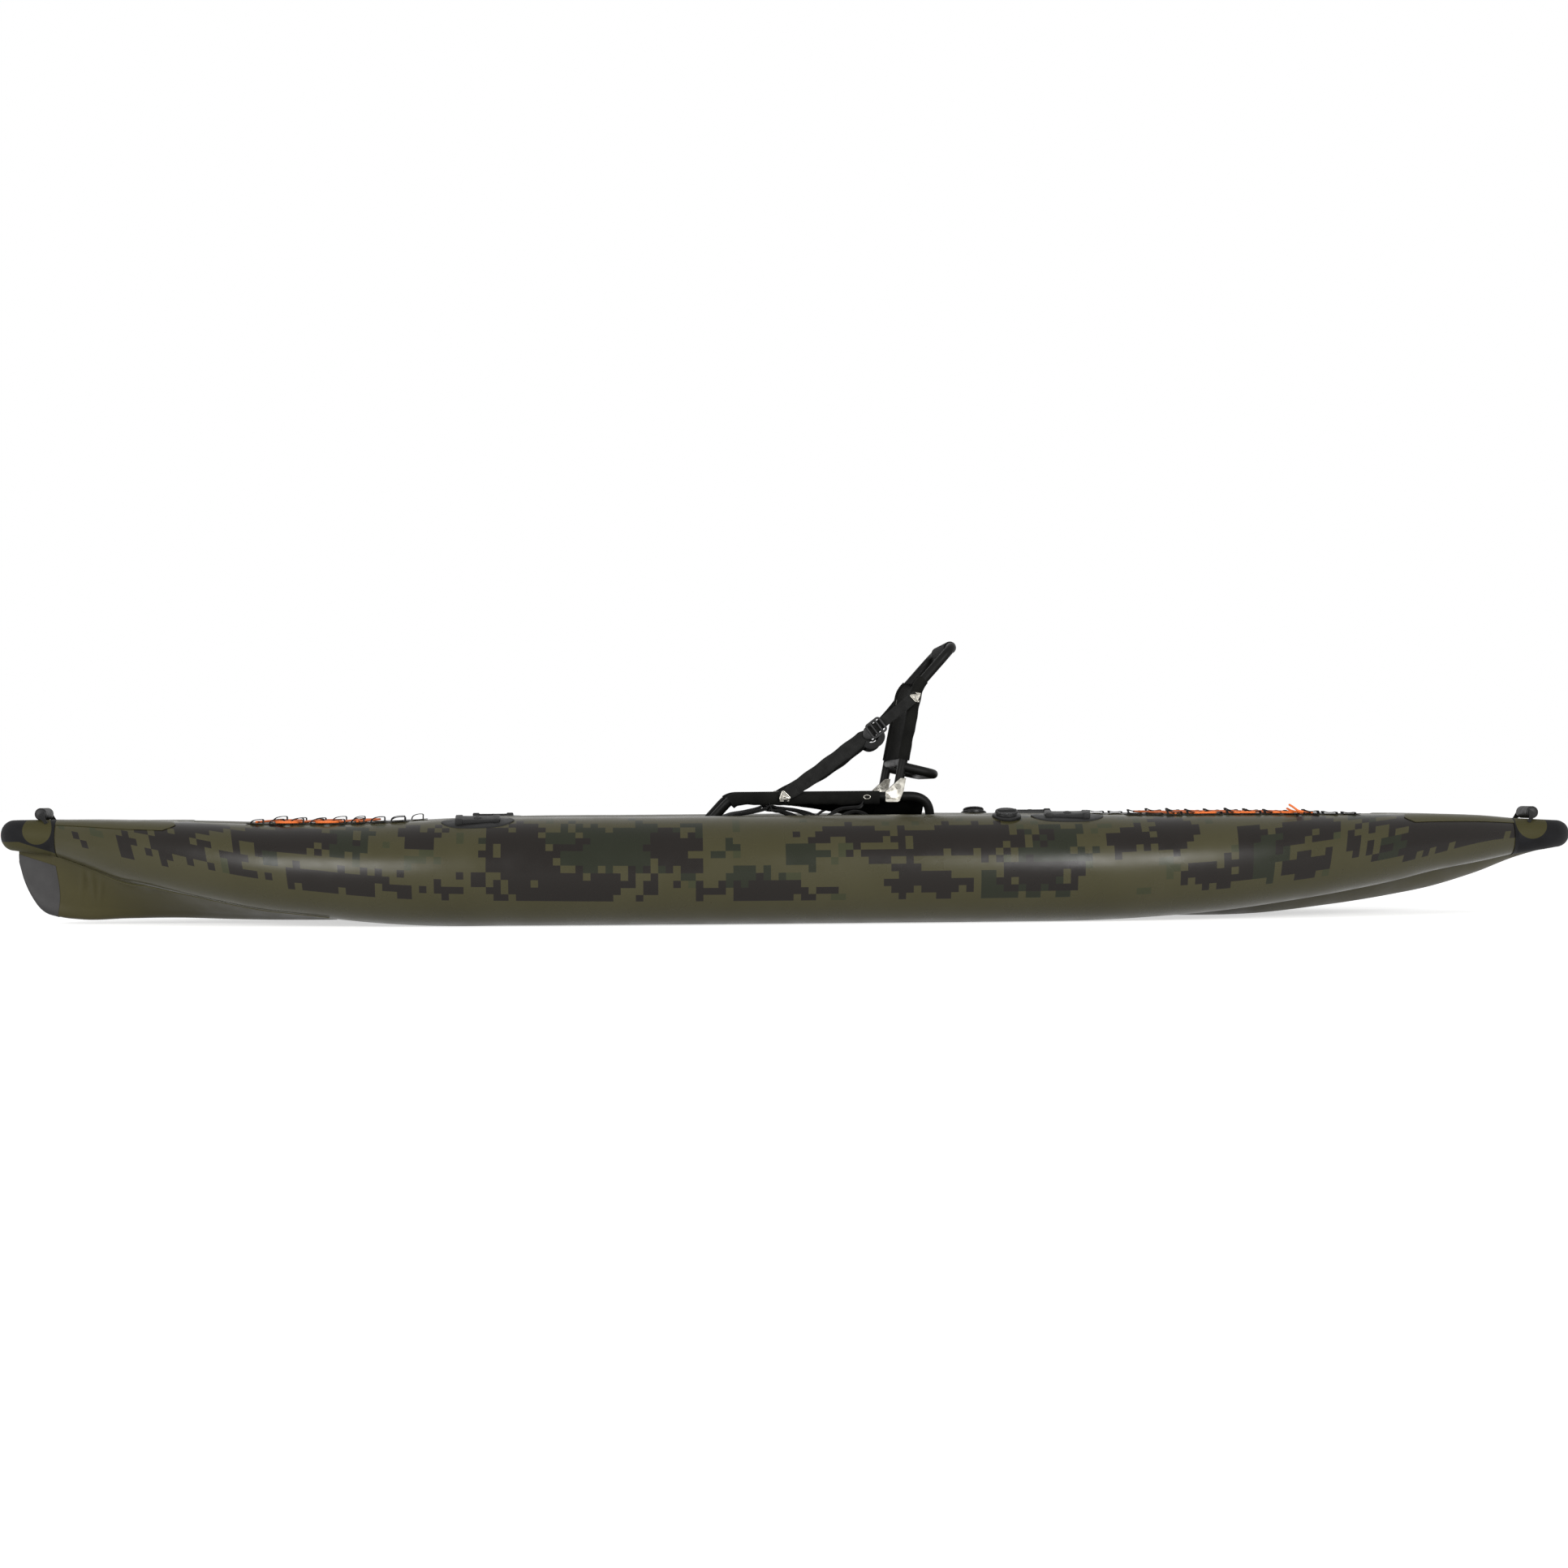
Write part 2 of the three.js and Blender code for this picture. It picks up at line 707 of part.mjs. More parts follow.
// Valve: body in a well, turning cap, sprung poppet. Local Z = 0 is the skin.
function cylinderFrom(radius, fromZ, toZ, sides = 16) {
  return new THREE.CylinderGeometry(radius, radius, toZ - fromZ, sides)
    .rotateX(Math.PI / 2)
    .translate(0, 0, (fromZ + toZ) / 2);
}

function valveWell() {
  return cylinderFrom(valve.barrelDiameter / 2 + fit.gap * 2, -valve.barrelDepth - fit.gap, fit.overrun);
}

function addValve(label, group, skinBelow) {
  const top = valve.flangeHeight + valve.rimHeight;
  const bore = valve.boreDiameter / 2;
  const flange = cut(
    cylinderFrom(valve.flangeDiameter / 2, -valve.flangeHeight, valve.flangeHeight, 20),
    skinBelow,
  );
  const body = cut(
    join(
      flange,
      cylinderFrom(valve.barrelDiameter / 2, -valve.barrelDepth, valve.flangeHeight),
      cylinderFrom(valve.rimDiameter / 2, valve.flangeHeight / 2, top),
    ),
    cylinderFrom(bore, valve.floorThickness - valve.barrelDepth, top + fit.overrun),
  );
  add(`${label}_valve_body`, body, "moulding", group);
  const capBottom = top + fit.gap;
  const capTop = capBottom + valve.capThickness;
  const rib = box(valve.rimDiameter, valve.capRibWidth, 2 * valve.capRibHeight);
  const cap = join(
    cylinderFrom(valve.rimDiameter / 2 + valve.capOverhang, capBottom, capTop),
    cylinderFrom(bore - 2 * fit.gap, capBottom - valve.capPlug, capTop),
    rib.translate(0, 0, capTop),
  );
  add(`${label}_valve_cap`, cap, "moulding", group);
  const discBottom = valve.floorThickness - valve.barrelDepth + valve.stroke + fit.gap;
  const poppet = join(
    cylinderFrom(bore - 2 * fit.gap, discBottom, discBottom + valve.poppetDisc),
    cylinderFrom(valve.stemDiameter / 2, discBottom, capBottom - valve.capPlug - fit.gap, 12),
  );
  add(`${label}_valve_poppet`, poppet, "moulding", group);
}

// Daisy chain: flat webbing with standing loops
function tubeTop(x) {
  const { radius, z } = tubeAt(x);
  return radius + z;
}

function loopPlaces(startX, pitch, count) {
  return Array.from({ length: count }, (_, i) => startX + pitch * (i + 0.5));
}

function daisyChain(side, startX, pitch, count) {
  const places = placesBetween(tubeStations, startX, startX + pitch * count);
  const halfWeb = daisy.webWidth / 2;
  const web = loft(
    places.map((x) => {
      const { y } = tubeAt(x);
      const low = tubeTop(x) + fit.gap;
      const high = low + daisy.webThickness;
      return [
        new THREE.Vector3(x, side * y - halfWeb, low),
        new THREE.Vector3(x, side * y + halfWeb, low),
        new THREE.Vector3(x, side * y + halfWeb, high),
        new THREE.Vector3(x, side * y - halfWeb, high),
      ];
    }),
  );
  const loops = loopPlaces(startX, pitch, count).map((x) => {
    const { y } = tubeAt(x);
    const base = tubeTop(x) + fit.gap + daisy.webThickness / 2;
    const arc = (halfSpan, height) =>
      [180, 125, 55, 0].map((angle) => [
        x + halfSpan * Math.cos(angle * degree),
        base + height * Math.sin(angle * degree),
      ]);
    const outer = arc(daisy.loopLength / 2, daisy.loopHeight);
    const inner = arc(daisy.loopLength / 2 - daisy.loopThickness, daisy.loopHeight - daisy.loopThickness);
    const middle = side * y;
    const halfLoop = halfWeb - daisy.loopThickness / 2;
    return sidePlate([...outer, ...inner.reverse()], middle - halfLoop, middle + halfLoop);
  });
  return join(web, ...loops);
}

// A cord's route whose steps follow its points, so that long straights take few
class RoutedCord extends THREE.CatmullRomCurve3 {
  getUtoTmapping(share) {
    return share;
  }
}

// Laced bungee: across, round outboard of the webbing, and back, loop by loop
function lacedBungee(places) {
  const lift = fit.gap + daisy.webThickness + bungee.lift + bungee.diameter / 2;
  const point = (x, side, outboard) =>
    new THREE.Vector3(x, side * (tubeAt(x).y + outboard), tubeTop(x) + lift);
  const edge = daisy.webWidth / 2;
  const route = [point(places[0], port, bungee.outboardTurn)];
  let side = port;
  places.forEach((x, i) => {
    route.push(point(x, side, edge), point(x, side, -edge), point(x, side, -3 * edge));
    route.push(point(x, -side, -3 * edge), point(x, -side, -edge), point(x, -side, edge));
    const next = i + 1 < places.length ? (x + places[i + 1]) / 2 : x;
    route.push(point(next, -side, bungee.outboardTurn));
    side = -side;
  });
  const path = new RoutedCord(route, false, "centripetal");
  return tubeAlong(path, bungee.diameter / 2, 5, (route.length - 1) * 2);
}

// Carry handle: webbing over two roots, threaded through a round grip
function ribbonArch(line, thickness, width) {
  const path = line.map(([y, z]) => new THREE.Vector2(y, z));
  const offsetLine = (sign) =>
    path.map((point, i) => {
      const before = path[Math.max(0, i - 1)];
      const after = path[Math.min(path.length - 1, i + 1)];
      const along = after.clone().sub(before).normalize();
      return new THREE.Vector2(
        point.x - (along.y * thickness * sign) / 2,
        point.y + (along.x * thickness * sign) / 2,
      );
    });
  const shape = new THREE.Shape([...offsetLine(1), ...offsetLine(-1).reverse()]);
  // Drawn in the YZ plane, with its width along X
  return new THREE.ExtrudeGeometry(shape, { depth: width, bevelEnabled: false })
    .rotateX(Math.PI / 2)
    .rotateZ(Math.PI / 2)
    .translate(-width / 2, 0, 0);
}

function addHandle(label, nose, end) {
  const toEnd = Math.sign(end.x);
  const rootAngle = 54 * degree;
  const along = nose.handleSetBack / (halfLength - Math.abs(end.x));
  const section = noseSection(nose, end, along, 0);
  const reach = section.halfHeight + handle.rootRadius + 2 * fit.gap;
  const rootY = section.shoulder + reach * Math.cos(rootAngle);
  const rootZ = section.z + reach * Math.sin(rootAngle);
  const gripRadius = handle.gripDiameter / 2;
  const noseTop = end.z + end.radius;
  const group = new THREE.Group();
  group.position.set(end.x + toEnd * nose.handleSetBack, 0, rootZ);
  group.rotation.y = toEnd * Math.acos((noseTop + gripRadius + handle.restGap - rootZ) / handle.arm);
  kayak.add(group);
  const halfGrip = handle.gripLength / 2;
  const outer = [
    [rootY, 0],
    [rootY - handle.rootRadius, handle.neckHeight],
    [halfGrip + 2 * handle.rootRadius, handle.arm - handle.rootRadius],
    [halfGrip + handle.rootRadius, handle.arm],
    [halfGrip, handle.arm],
  ];
  const arch = (points) => [...points, ...points.map(([y, z]) => [-y, z]).reverse()];
  const knuckle = (side) => new THREE.SphereGeometry(handle.rootRadius, 8, 6).translate(0, side * rootY, 0);
  const web = join(
    ribbonArch(arch(outer), handle.webThickness, handle.neckWidth),
    ribbonArch(arch(outer.slice(1)), handle.webThickness, handle.webWidth),
    knuckle(port),
    knuckle(starboard),
  );
  add(`${label}_handle_webbing`, web, "webbing", group);
  const slot = box(
    handle.webWidth + 2 * fit.gap,
    handle.gripLength + fit.overrun,
    handle.webThickness + 2 * fit.gap,
  );
  const grip = cut(new THREE.CylinderGeometry(gripRadius, gripRadius, handle.gripLength, 16), slot);
  add(`${label}_handle_grip`, grip.translate(0, 0, handle.arm), "moulding", group);
}

// Room for a strap anchor's band round a tube
function bandClearance(side, x, z, tilt) {
  const radius = seatRadius + anchor.bandThickness + 4 * fit.gap;
  return new THREE.CylinderGeometry(radius, radius, anchor.bandWidth + 4 * fit.gap, 16)
    .rotateZ(Math.PI / 2)
    .rotateY(-tilt)
    .translate(x, side * seatHalfWidth, z);
}

// Seat base: one bent tube a side, two cross tubes
const footZ = floorTop(seat.rearX) + fit.gap + seatRadius;

function sideFramePath(side) {
  const corner = (x, y, z) => new THREE.Vector3(x, side * y, z);
  const corners = [
    corner(seat.footX - seat.footLength, footHalfWidth, footZ),
    corner(seat.footX, footHalfWidth, footZ),
    corner(seat.railFrontX, seatHalfWidth, seat.railHeight),
    corner(seat.rearX, seatHalfWidth, seat.railHeight),
    corner(seat.rearX, footHalfWidth, footZ),
    corner(seat.footX + seat.runnerStart, footHalfWidth, footZ),
  ];
  return bentPath(corners, seat.bendRadius);
}

function sideFrame(side, growth) {
  return tubeAlong(sideFramePath(side), seatRadius + growth, 8, 42);
}

function sideFrameBored(side) {
  const bore = new THREE.CylinderGeometry(
    bracket.boltDiameter / 2 + fit.gap,
    bracket.boltDiameter / 2 + fit.gap,
    2 * seat.tubeDiameter,
    12,
  );
  return cut(sideFrame(side, 0), bore.translate(bracket.boltX, side * seatHalfWidth, seat.railHeight));
}

function legAt(height) {
  const share = (height - footZ) / (seat.railHeight - footZ);
  return {
    frontX: THREE.MathUtils.lerp(seat.footX, seat.railFrontX, share),
    y: THREE.MathUtils.lerp(footHalfWidth, seatHalfWidth, share),
  };
}

function seatCrossTube(x) {
  const bar = crossBar(seat.crossTubeDiameter / 2, x, seatCrossZ, legAt(seatCrossZ).y);
  return cut(bar, sideFrame(port, fit.gap), sideFrame(starboard, fit.gap));
}

function seatSling() {
  const places = [0, 0.2, 0.4, 0.6, 0.8, 1];
  const across = [-1, -0.85, -0.6, -0.3, 0, 0.3, 0.6, 0.85, 1];
  const edge = seatHalfWidth - sling.tuck;
  const rings = places.map((share) => {
    const x = THREE.MathUtils.lerp(sling.frontX, sling.backX, share);
    const sag = THREE.MathUtils.lerp(sling.frontSag, sling.backSag, share * share);
    const lower = across.map(
      (s) => new THREE.Vector3(x, s * edge, seat.railHeight - sling.thickness / 2 - sag * (1 - s * s)),
    );
    const upper = lower.map((point) => point.clone().setZ(point.z + sling.thickness)).reverse();
    return [...lower, ...upper];
  });
  return cut(
    loft(rings),
    sideFrame(port, fit.gap),
    sideFrame(starboard, fit.gap),
    bandClearance(port, strap.lowerX, seat.railHeight, 0),
    bandClearance(starboard, strap.lowerX, seat.railHeight, 0),
  );
}

// Seat back: the bent hoop that folds, with its cross tube, rear bar, sling and grip
function backFrame(growth) {
  const corner = (x, side, z) => new THREE.Vector3(x, side * seatHalfWidth, z);
  const corners = [
    corner(back.pivotX, port, pivotZ),
    corner(back.bendX, port, bendZ),
    corner(back.topX, port, topZ),
    corner(back.topX, starboard, topZ),
    corner(back.bendX, starboard, bendZ),
    corner(back.pivotX, starboard, pivotZ),
  ];
  return tubeAlong(bentPath(corners, seat.bendRadius), seatRadius + growth, 8, 38);
}

function yCylinder(radius, length, x, y, z, sides = 16) {
  return new THREE.CylinderGeometry(radius, radius, length, sides).translate(x, y, z);
}

function backFrameFinished() {
  const end = (side) =>
    yCylinder(seatRadius * 0.98, seatRadius * 1.6, back.pivotX, side * seatHalfWidth, pivotZ, 12);
  const bore = (side) =>
    yCylinder(
      bracket.boltDiameter / 2 + fit.gap,
      2 * seat.tubeDiameter,
      back.pivotX,
      side * seatHalfWidth,
      pivotZ,
      12,
    );
  return cut(join(backFrame(0), end(port), end(starboard)), bore(port), bore(starboard));
}

function uprightX(z) {
  return THREE.MathUtils.mapLinear(z, pivotZ, bendZ, back.pivotX, back.bendX);
}

function backCrossTube() {
  const bar = crossBar(seat.crossTubeDiameter / 2, uprightX(backCrossZ), backCrossZ, seatHalfWidth);
  return cut(bar, backFrame(fit.gap), rearBar(fit.gap));
}

function rearBar(growth) {
  const corner = (x, side, z) => new THREE.Vector3(x, side * seatHalfWidth, z);
  const rootX = uprightX(rearBarZ);
  const path = bentPath(
    [
      corner(rootX, port, rearBarZ),
      corner(back.rearBarTipX, port, rearBarTipZ),
      corner(back.rearBarTipX, starboard, rearBarTipZ),
      corner(rootX, starboard, rearBarZ),
    ],
    back.rearBarBend,
  );
  return cut(tubeAlong(path, seatRadius + growth, 8, 24), backFrame(fit.gap));
}

function backSling() {
  const across = [-1, -0.85, -0.6, -0.3, 0, 0.3, 0.6, 0.85, 1];
  const edge = seatHalfWidth - sling.tuck;
  const rings = [0, 0.33, 0.67, 0.9, 1].map((share) => {
    const z = seat.railHeight + THREE.MathUtils.lerp(back.slingBottomRise, back.slingTopRise, share);
    const rear = across.map((s) => {
      const bow = back.slingBow * (1 - s * s);
      return new THREE.Vector3(uprightX(Math.min(z, bendZ)) + bow, s * edge, z);
    });
    const front = rear.map((point) => point.clone().setX(point.x - back.slingThickness)).reverse();
    return [...rear, ...front];
  });
  return cut(
    loft(rings),
    backFrame(fit.gap),
    bandClearance(port, uprightX(strapUpperZ), strapUpperZ, uprightTilt),
    bandClearance(starboard, uprightX(strapUpperZ), strapUpperZ, uprightTilt),
  );
}

function topGrip() {
  const inner = seatRadius + 2 * fit.gap;
  const outer = back.gripDiameter / 2;
  const half = seatHalfWidth - back.gripInset;
  const profile = [
    [inner, -half],
    [outer, -half],
    [outer, half],
    [inner, half],
    [inner, -half],
  ].map(([radius, along]) => new THREE.Vector2(radius, along));
  return new THREE.LatheGeometry(profile, 20).translate(back.topX, 0, topZ);
}

// Hinge bracket: folded sheet, two cheeks, a stop behind the upright and a web under the rail
function hingeBracket(side) {
  const inside = seatRadius + fit.gap;
  const middle = side * seatHalfWidth;
  const wallOffset = inside + 2 * fit.gap;
  const lean = (back.bendX - back.pivotX) / (bendZ - pivotZ);
  const wallX = (z) => back.pivotX + lean * (z - pivotZ) + wallOffset * Math.hypot(1, lean);
  const cheekTopZ = pivotZ + bracket.height / 3;
  const wallLowZ = cheekTopZ - bracket.stopHeight;
  const frontX = back.pivotX - bracket.reach * 0.62;
  const bottomZ = seat.railHeight - seatRadius - fit.gap - bracket.sheet;
  const outline = [
    [wallX(cheekTopZ) + bracket.sheet, cheekTopZ],
    [back.pivotX + bracket.reach * 0.1, cheekTopZ],
    [frontX, seat.railHeight + seatRadius],
    [frontX, bottomZ + bracket.sheet],
    [frontX + bracket.sheet * 2, bottomZ],
    [back.pivotX - bracket.sheet, bottomZ],
    [back.pivotX + bracket.sheet, bottomZ + bracket.sheet],
    [wallX(wallLowZ) + bracket.sheet, wallLowZ],
  ];
  const cheek = (from) => sidePlate(outline, middle + from, middle + from + bracket.sheet);
  const across = inside + bracket.sheet / 2;
  const wall = sidePlate(
    [
      [wallX(cheekTopZ), cheekTopZ],
      [wallX(wallLowZ), wallLowZ],
      [wallX(wallLowZ) + bracket.sheet, wallLowZ],
      [wallX(cheekTopZ) + bracket.sheet, cheekTopZ],
    ],
    middle - across,
    middle + across,
  );
  const webFront = frontX + bracket.sheet * 2;
  const web = sidePlate(
    [
      [webFront, bottomZ],
      [webFront + bracket.webLength, bottomZ],
      [webFront + bracket.webLength, bottomZ + bracket.sheet],
      [webFront, bottomZ + bracket.sheet],
    ],
    middle - across,
    middle + across,
  );
  const shank = inside + bracket.sheet + bracket.headHeight;
  const bolt = yCylinder(bracket.boltDiameter / 2, 2 * shank, bracket.boltX, middle, seat.railHeight, 12);
  const head = (sign) =>
    yCylinder(
      bracket.headDiameter / 2,
      bracket.headHeight,
      bracket.boltX,
      middle + sign * (inside + bracket.sheet + bracket.headHeight / 2 - fit.gap),
      seat.railHeight,
      6,
    );
  const bore = yCylinder(
    bracket.boltDiameter / 2 + fit.gap,
    4 * inside,
    back.pivotX,
    middle,
    pivotZ,
    12,
  );
  const sheet = join(cheek(inside), cheek(-inside - bracket.sheet), wall, web, bolt, head(1), head(-1));
  return cut(sheet, bore);
}

function pivotBolt(side) {
  const shank = bracket.boltDiameter / 2 - fit.gap / 2;
  const headRadius = bracket.headDiameter / 2;
  const grip = seatRadius + bracket.sheet + 2 * fit.gap;
  const end = grip + bracket.headHeight;
  const profile = [
    [0, -end],
    [headRadius, -end],
    [headRadius, -grip],
    [shank, -grip],
    [shank, grip],
    [headRadius, grip],
    [headRadius, end],
    [0, end],
  ].map(([radius, along]) => new THREE.Vector2(radius, along));
  return new THREE.LatheGeometry(profile, 12).translate(back.pivotX, side * seatHalfWidth, pivotZ);
}

// Strap anchor: a band round the tube with a tab outboard, local X along the tube
function addAnchor(name, side, x, z, tubeTilt) {
  const inner = seatRadius + 2 * fit.gap;
  const outer = inner + anchor.bandThickness;
  const half = anchor.bandWidth / 2;
  const profile = [
    [inner, -half],
    [outer, -half],
    [outer, half],
    [inner, half],
    [inner, -half],
  ].map(([radius, along]) => new THREE.Vector2(radius, along));
  const band = new THREE.LatheGeometry(profile, 16).rotateZ(Math.PI / 2);
  const tab = box(anchor.tabLength, anchor.tabThickness, anchor.tabHeight);
  tab.translate(0, side * (outer + anchor.tabThickness / 2 - anchor.bandThickness / 2), 0);
  const group = new THREE.Group();
  group.position.set(x, side * seatHalfWidth, z);
  group.rotation.y = -tubeTilt;
  kayak.add(group);
  add(name, join(band, tab), "stainless", group);
}

const strapFace = seatRadius + 2 * fit.gap + anchor.bandThickness / 2 + anchor.tabThickness + fit.gap;
const strapSpan = new THREE.Vector2(strap.upperX - strap.lowerX, strapUpperZ - strapLowerZ);

function addBackStrap(label, side) {
  const group = new THREE.Group();
  group.position.set(strap.lowerX, side * seatHalfWidth, strapLowerZ);
  group.rotation.y = -strapSpan.angle();
  kayak.add(group);
  const length = strapSpan.length();
  const wide = strap.sleeveWidth / 2;
  const slim = strap.webWidth / 2;
  const end = strap.taper / 2;
  const sleeveEnd = strap.buckleAt - buckle.length / 2;
  const outline = [
    [-end, -slim],
    [end, -wide],
    [sleeveEnd - strap.taper, -wide],
    [sleeveEnd, -slim],
    [length + end, -slim],
    [length + end, slim],
    [sleeveEnd, slim],
    [sleeveEnd - strap.taper, wide],
    [end, wide],
    [-end, slim],
  ];
  const web = sidePlate(outline, side * strapFace, side * (strapFace + strap.thickness));
  add(`${label}_back_strap`, web, "webbing", group);
  const faceY = strapFace + strap.thickness + fit.gap;
  const frame = sidePlate(
    [
      [-buckle.length / 2, -buckle.width / 2],
      [buckle.length / 2, -buckle.width / 2],
      [buckle.length / 2, buckle.width / 2],
      [-buckle.length / 2, buckle.width / 2],
    ],
    side * faceY,
    side * (faceY + buckle.thickness),
  );
  const barPlaces = [-1, 0, 1].map((i) => (i * (buckle.length - buckle.barWidth)) / 2);
  const bars = barPlaces.map((x) =>
    box(buckle.barWidth, 2 * buckle.barHeight, buckle.width).translate(x, side * (faceY + buckle.thickness), 0),
  );
  const ladder = join(frame, ...bars).translate(strap.buckleAt, 0, 0);
  add(`${label}_strap_buckle`, ladder, "moulding", group);
}

// Slack webbing under each rail that ties the seat down
function tieDownStrap(side) {
  const waveShares = [
    [0, 0],
    [0.1, 0.1],
    [0.23, 1],
    [0.36, 0.55],
    [0.55, 0.05],
    [0.68, 0.3],
    [0.8, 1],
    [0.92, 0.4],
    [1, 0.2],
  ];
  const route = waveShares.map(
    ([xShare, heightShare]) =>
      new THREE.Vector2(
        THREE.MathUtils.lerp(tieDown.frontX, tieDown.backX, xShare),
        THREE.MathUtils.lerp(tieDownLow, tieDownHigh, heightShare),
      ),
  );
  const line = new THREE.SplineCurve(route).getPoints(24);
  line.forEach((point) => {
    point.y = Math.min(point.y, tieDownHigh);
  });
  const half = tieDown.thickness / 2;
  const outline = [
    ...line.map((point) => [point.x, point.y - half]),
    ...[...line].reverse().map((point) => [point.x, point.y + half]),
  ];
  const middle = side * seatHalfWidth;
  return sidePlate(outline, middle - tieDown.width / 2, middle + tieDown.width / 2);
}

// The foot brace reaches across the floor to just short of both tubes
function footBraceReach() {
  const { radius, y } = tubeAt(footBrace.x);
  return y - radius - footBrace.endClear;
}

function footBraceStrap(side) {
  const from = footBrace.x + footBrace.diameter / 2 + fit.gap;
  const to = from + footBrace.strapLength;
  const low = (x) => floorTop(x) + fit.gap;
  const outline = [
    [from, low(from)],
    [to, low(to)],
    [to, low(to) + footBrace.strapThickness],
    [from, low(from) + footBrace.strapThickness],
  ];
  const middle = side * (footBraceReach() - footBrace.strapWidth / 2 - footBrace.strapThickness);
  return sidePlate(outline, middle - footBrace.strapWidth / 2, middle + footBrace.strapWidth / 2);
}

// Hull
const sides = [
  ["port", port],
  ["starboard", starboard],
];
const grownTubes = sides.map(([, side]) => sideTube(side, fit.gap));
const valveGroups = sides.map(([, side]) => groupOnTube(valveShare * halfLength, side, valveAngle, fit.gap));
const floorValveX = floorValveShare * halfLength;
const floorValveGroup = new THREE.Group();
floorValveGroup.position.set(floorValveX, 0, floorTop(floorValveX) + fit.gap);
kayak.add(floorValveGroup);
floorValveGroup.updateMatrixWorld(true);

sides.forEach(([label, side], i) => {
  const well = valveWell().applyMatrix4(valveGroups[i].matrixWorld);
  add(`${label}_tube`, cut(sideTube(side, 0), well), "tube");
  addValve(label, valveGroups[i], inFrameOf(valveGroups[i], grownTubes[i]));
});

const floorWell = valveWell().applyMatrix4(floorValveGroup.matrixWorld);
add("floor_panel", cut(floorSolid(0), ...grownTubes, floorWell), "floor");
addValve(
  "floor",
  floorValveGroup,
  box(valve.flangeDiameter * 2, valve.flangeDiameter * 2, 2 * valve.flangeHeight).translate(
    0,
    0,
    -valve.flangeHeight,
  ),
);

const bowNoseGrown = noseWrap(bowNose, bowTubeEnd, fit.gap);
const sternNoseGrown = noseWrap(sternNose, sternTubeEnd, fit.gap);
add("bow_nose_wrap", noseWrap(bowNose, bowTubeEnd, 0), "charcoal");
add("stern_nose_wrap", noseWrap(sternNose, sternTubeEnd, 0), "charcoal");
add("hull_bottom", cut(bottomSkin(), ...grownTubes, sternNoseGrown, floorSolid(fit.gap)), "bottom");

const wholeKeel = cut(loft(keelStations.map(keelRing)), ...grownTubes, bowNoseGrown, floorSolid(fit.gap));
const wearBack = wearPatchShares.back * halfLength;
const wearCutter = (growth) =>
  sidePlate(
    [
      [-halfLength, -fit.overrun],
      [wearBack + growth, -fit.overrun],
      [wearBack + growth, wearPatchShares.backTop * boat.tubeDiameter + growth],
      [-halfLength, wearPatchShares.frontTop * boat.tubeDiameter + growth],
    ],
    -tubeRadius,
    tubeRadius,
  );
add("bow_keel", cut(wholeKeel, wearCutter(fit.gap)), "bottom");
add("keel_wear_patch", common(wholeKeel, wearCutter(0)), "wearPatch");
add("bow_deck", deckPanel(bowTubeEnd.x, deckShares.bowBack * halfLength), "tube");
add("stern_deck", deckPanel(deckShares.sternFront * halfLength, sternTubeEnd.x), "tube");

// Fittings on the hull
const bowDaisyX = daisyShares.bow * halfLength;
const sternDaisyX = daisyShares.stern * halfLength;
const bowLoops = 8;
const sternLoops = 12;
for (const [label, side] of sides) {
  addGearMount(`bow_gear_mount_${label}`, gearMountShares.bow * halfLength, side, bowMountAngle);
  addGearMount(`stern_gear_mount_${label}`, gearMountShares.stern * halfLength, side, sternMountAngle);
  add(`bow_daisy_chain_${label}`, daisyChain(side, bowDaisyX, daisy.bowPitch, bowLoops), "webbing");
  add(`stern_daisy_chain_${label}`, daisyChain(side, sternDaisyX, daisy.sternPitch, sternLoops), "webbing");
}
const bowLacing = loopPlaces(bowDaisyX, daisy.bowPitch, bowLoops).slice(0, 6);
const sternLacing = loopPlaces(sternDaisyX, daisy.sternPitch, sternLoops).slice(2, 10);
add("bow_bungee", lacedBungee(bowLacing), "bungee");
add("stern_bungee", lacedBungee(sternLacing), "bungee");
addHandle("bow", bowNose, bowTubeEnd);
addHandle("stern", sternNose, sternTubeEnd);
add(
  "foot_brace_bar",
  yCylinder(
    footBrace.diameter / 2,
    2 * footBraceReach(),
    footBrace.x,
    0,
    floorTop(footBrace.x) + footBrace.diameter / 2 + 2 * fit.gap,
    18,
  ),
  "foamGrip",
);

// Seat
for (const [label, side] of sides) {
  add(`seat_frame_${label}`, sideFrameBored(side), "powderCoat");
  add(`hinge_bracket_${label}`, hingeBracket(side), "stainless");
  add(`pivot_bolt_${label}`, pivotBolt(side), "stainless");
  addAnchor(`lower_strap_anchor_${label}`, side, strap.lowerX, seat.railHeight, 0);
  addAnchor(
    `upper_strap_anchor_${label}`,
    side,
    uprightX(strapUpperZ),
    strapUpperZ,
    uprightTilt,
  );
  addBackStrap(label, side);
  add(`seat_tie_down_${label}`, tieDownStrap(side), "webbing");
  add(`foot_brace_strap_${label}`, footBraceStrap(side), "webbing");
}
add("seat_front_cross_tube", seatCrossTube(legAt(seatCrossZ).frontX), "powderCoat");
add("seat_rear_cross_tube", seatCrossTube(seat.rearX), "powderCoat");
add("seat_sling", seatSling(), "meshFabric");
add("back_frame", backFrameFinished(), "powderCoat");
add("back_cross_tube", backCrossTube(), "powderCoat");
add("rear_bar", rearBar(0), "powderCoat");
add("back_sling", backSling(), "meshFabric");
add("top_grip", topGrip(), "foamGrip");

export default kayak;
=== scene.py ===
import math

import bmesh
import bpy
import numpy as np
from mathutils import Matrix, Vector


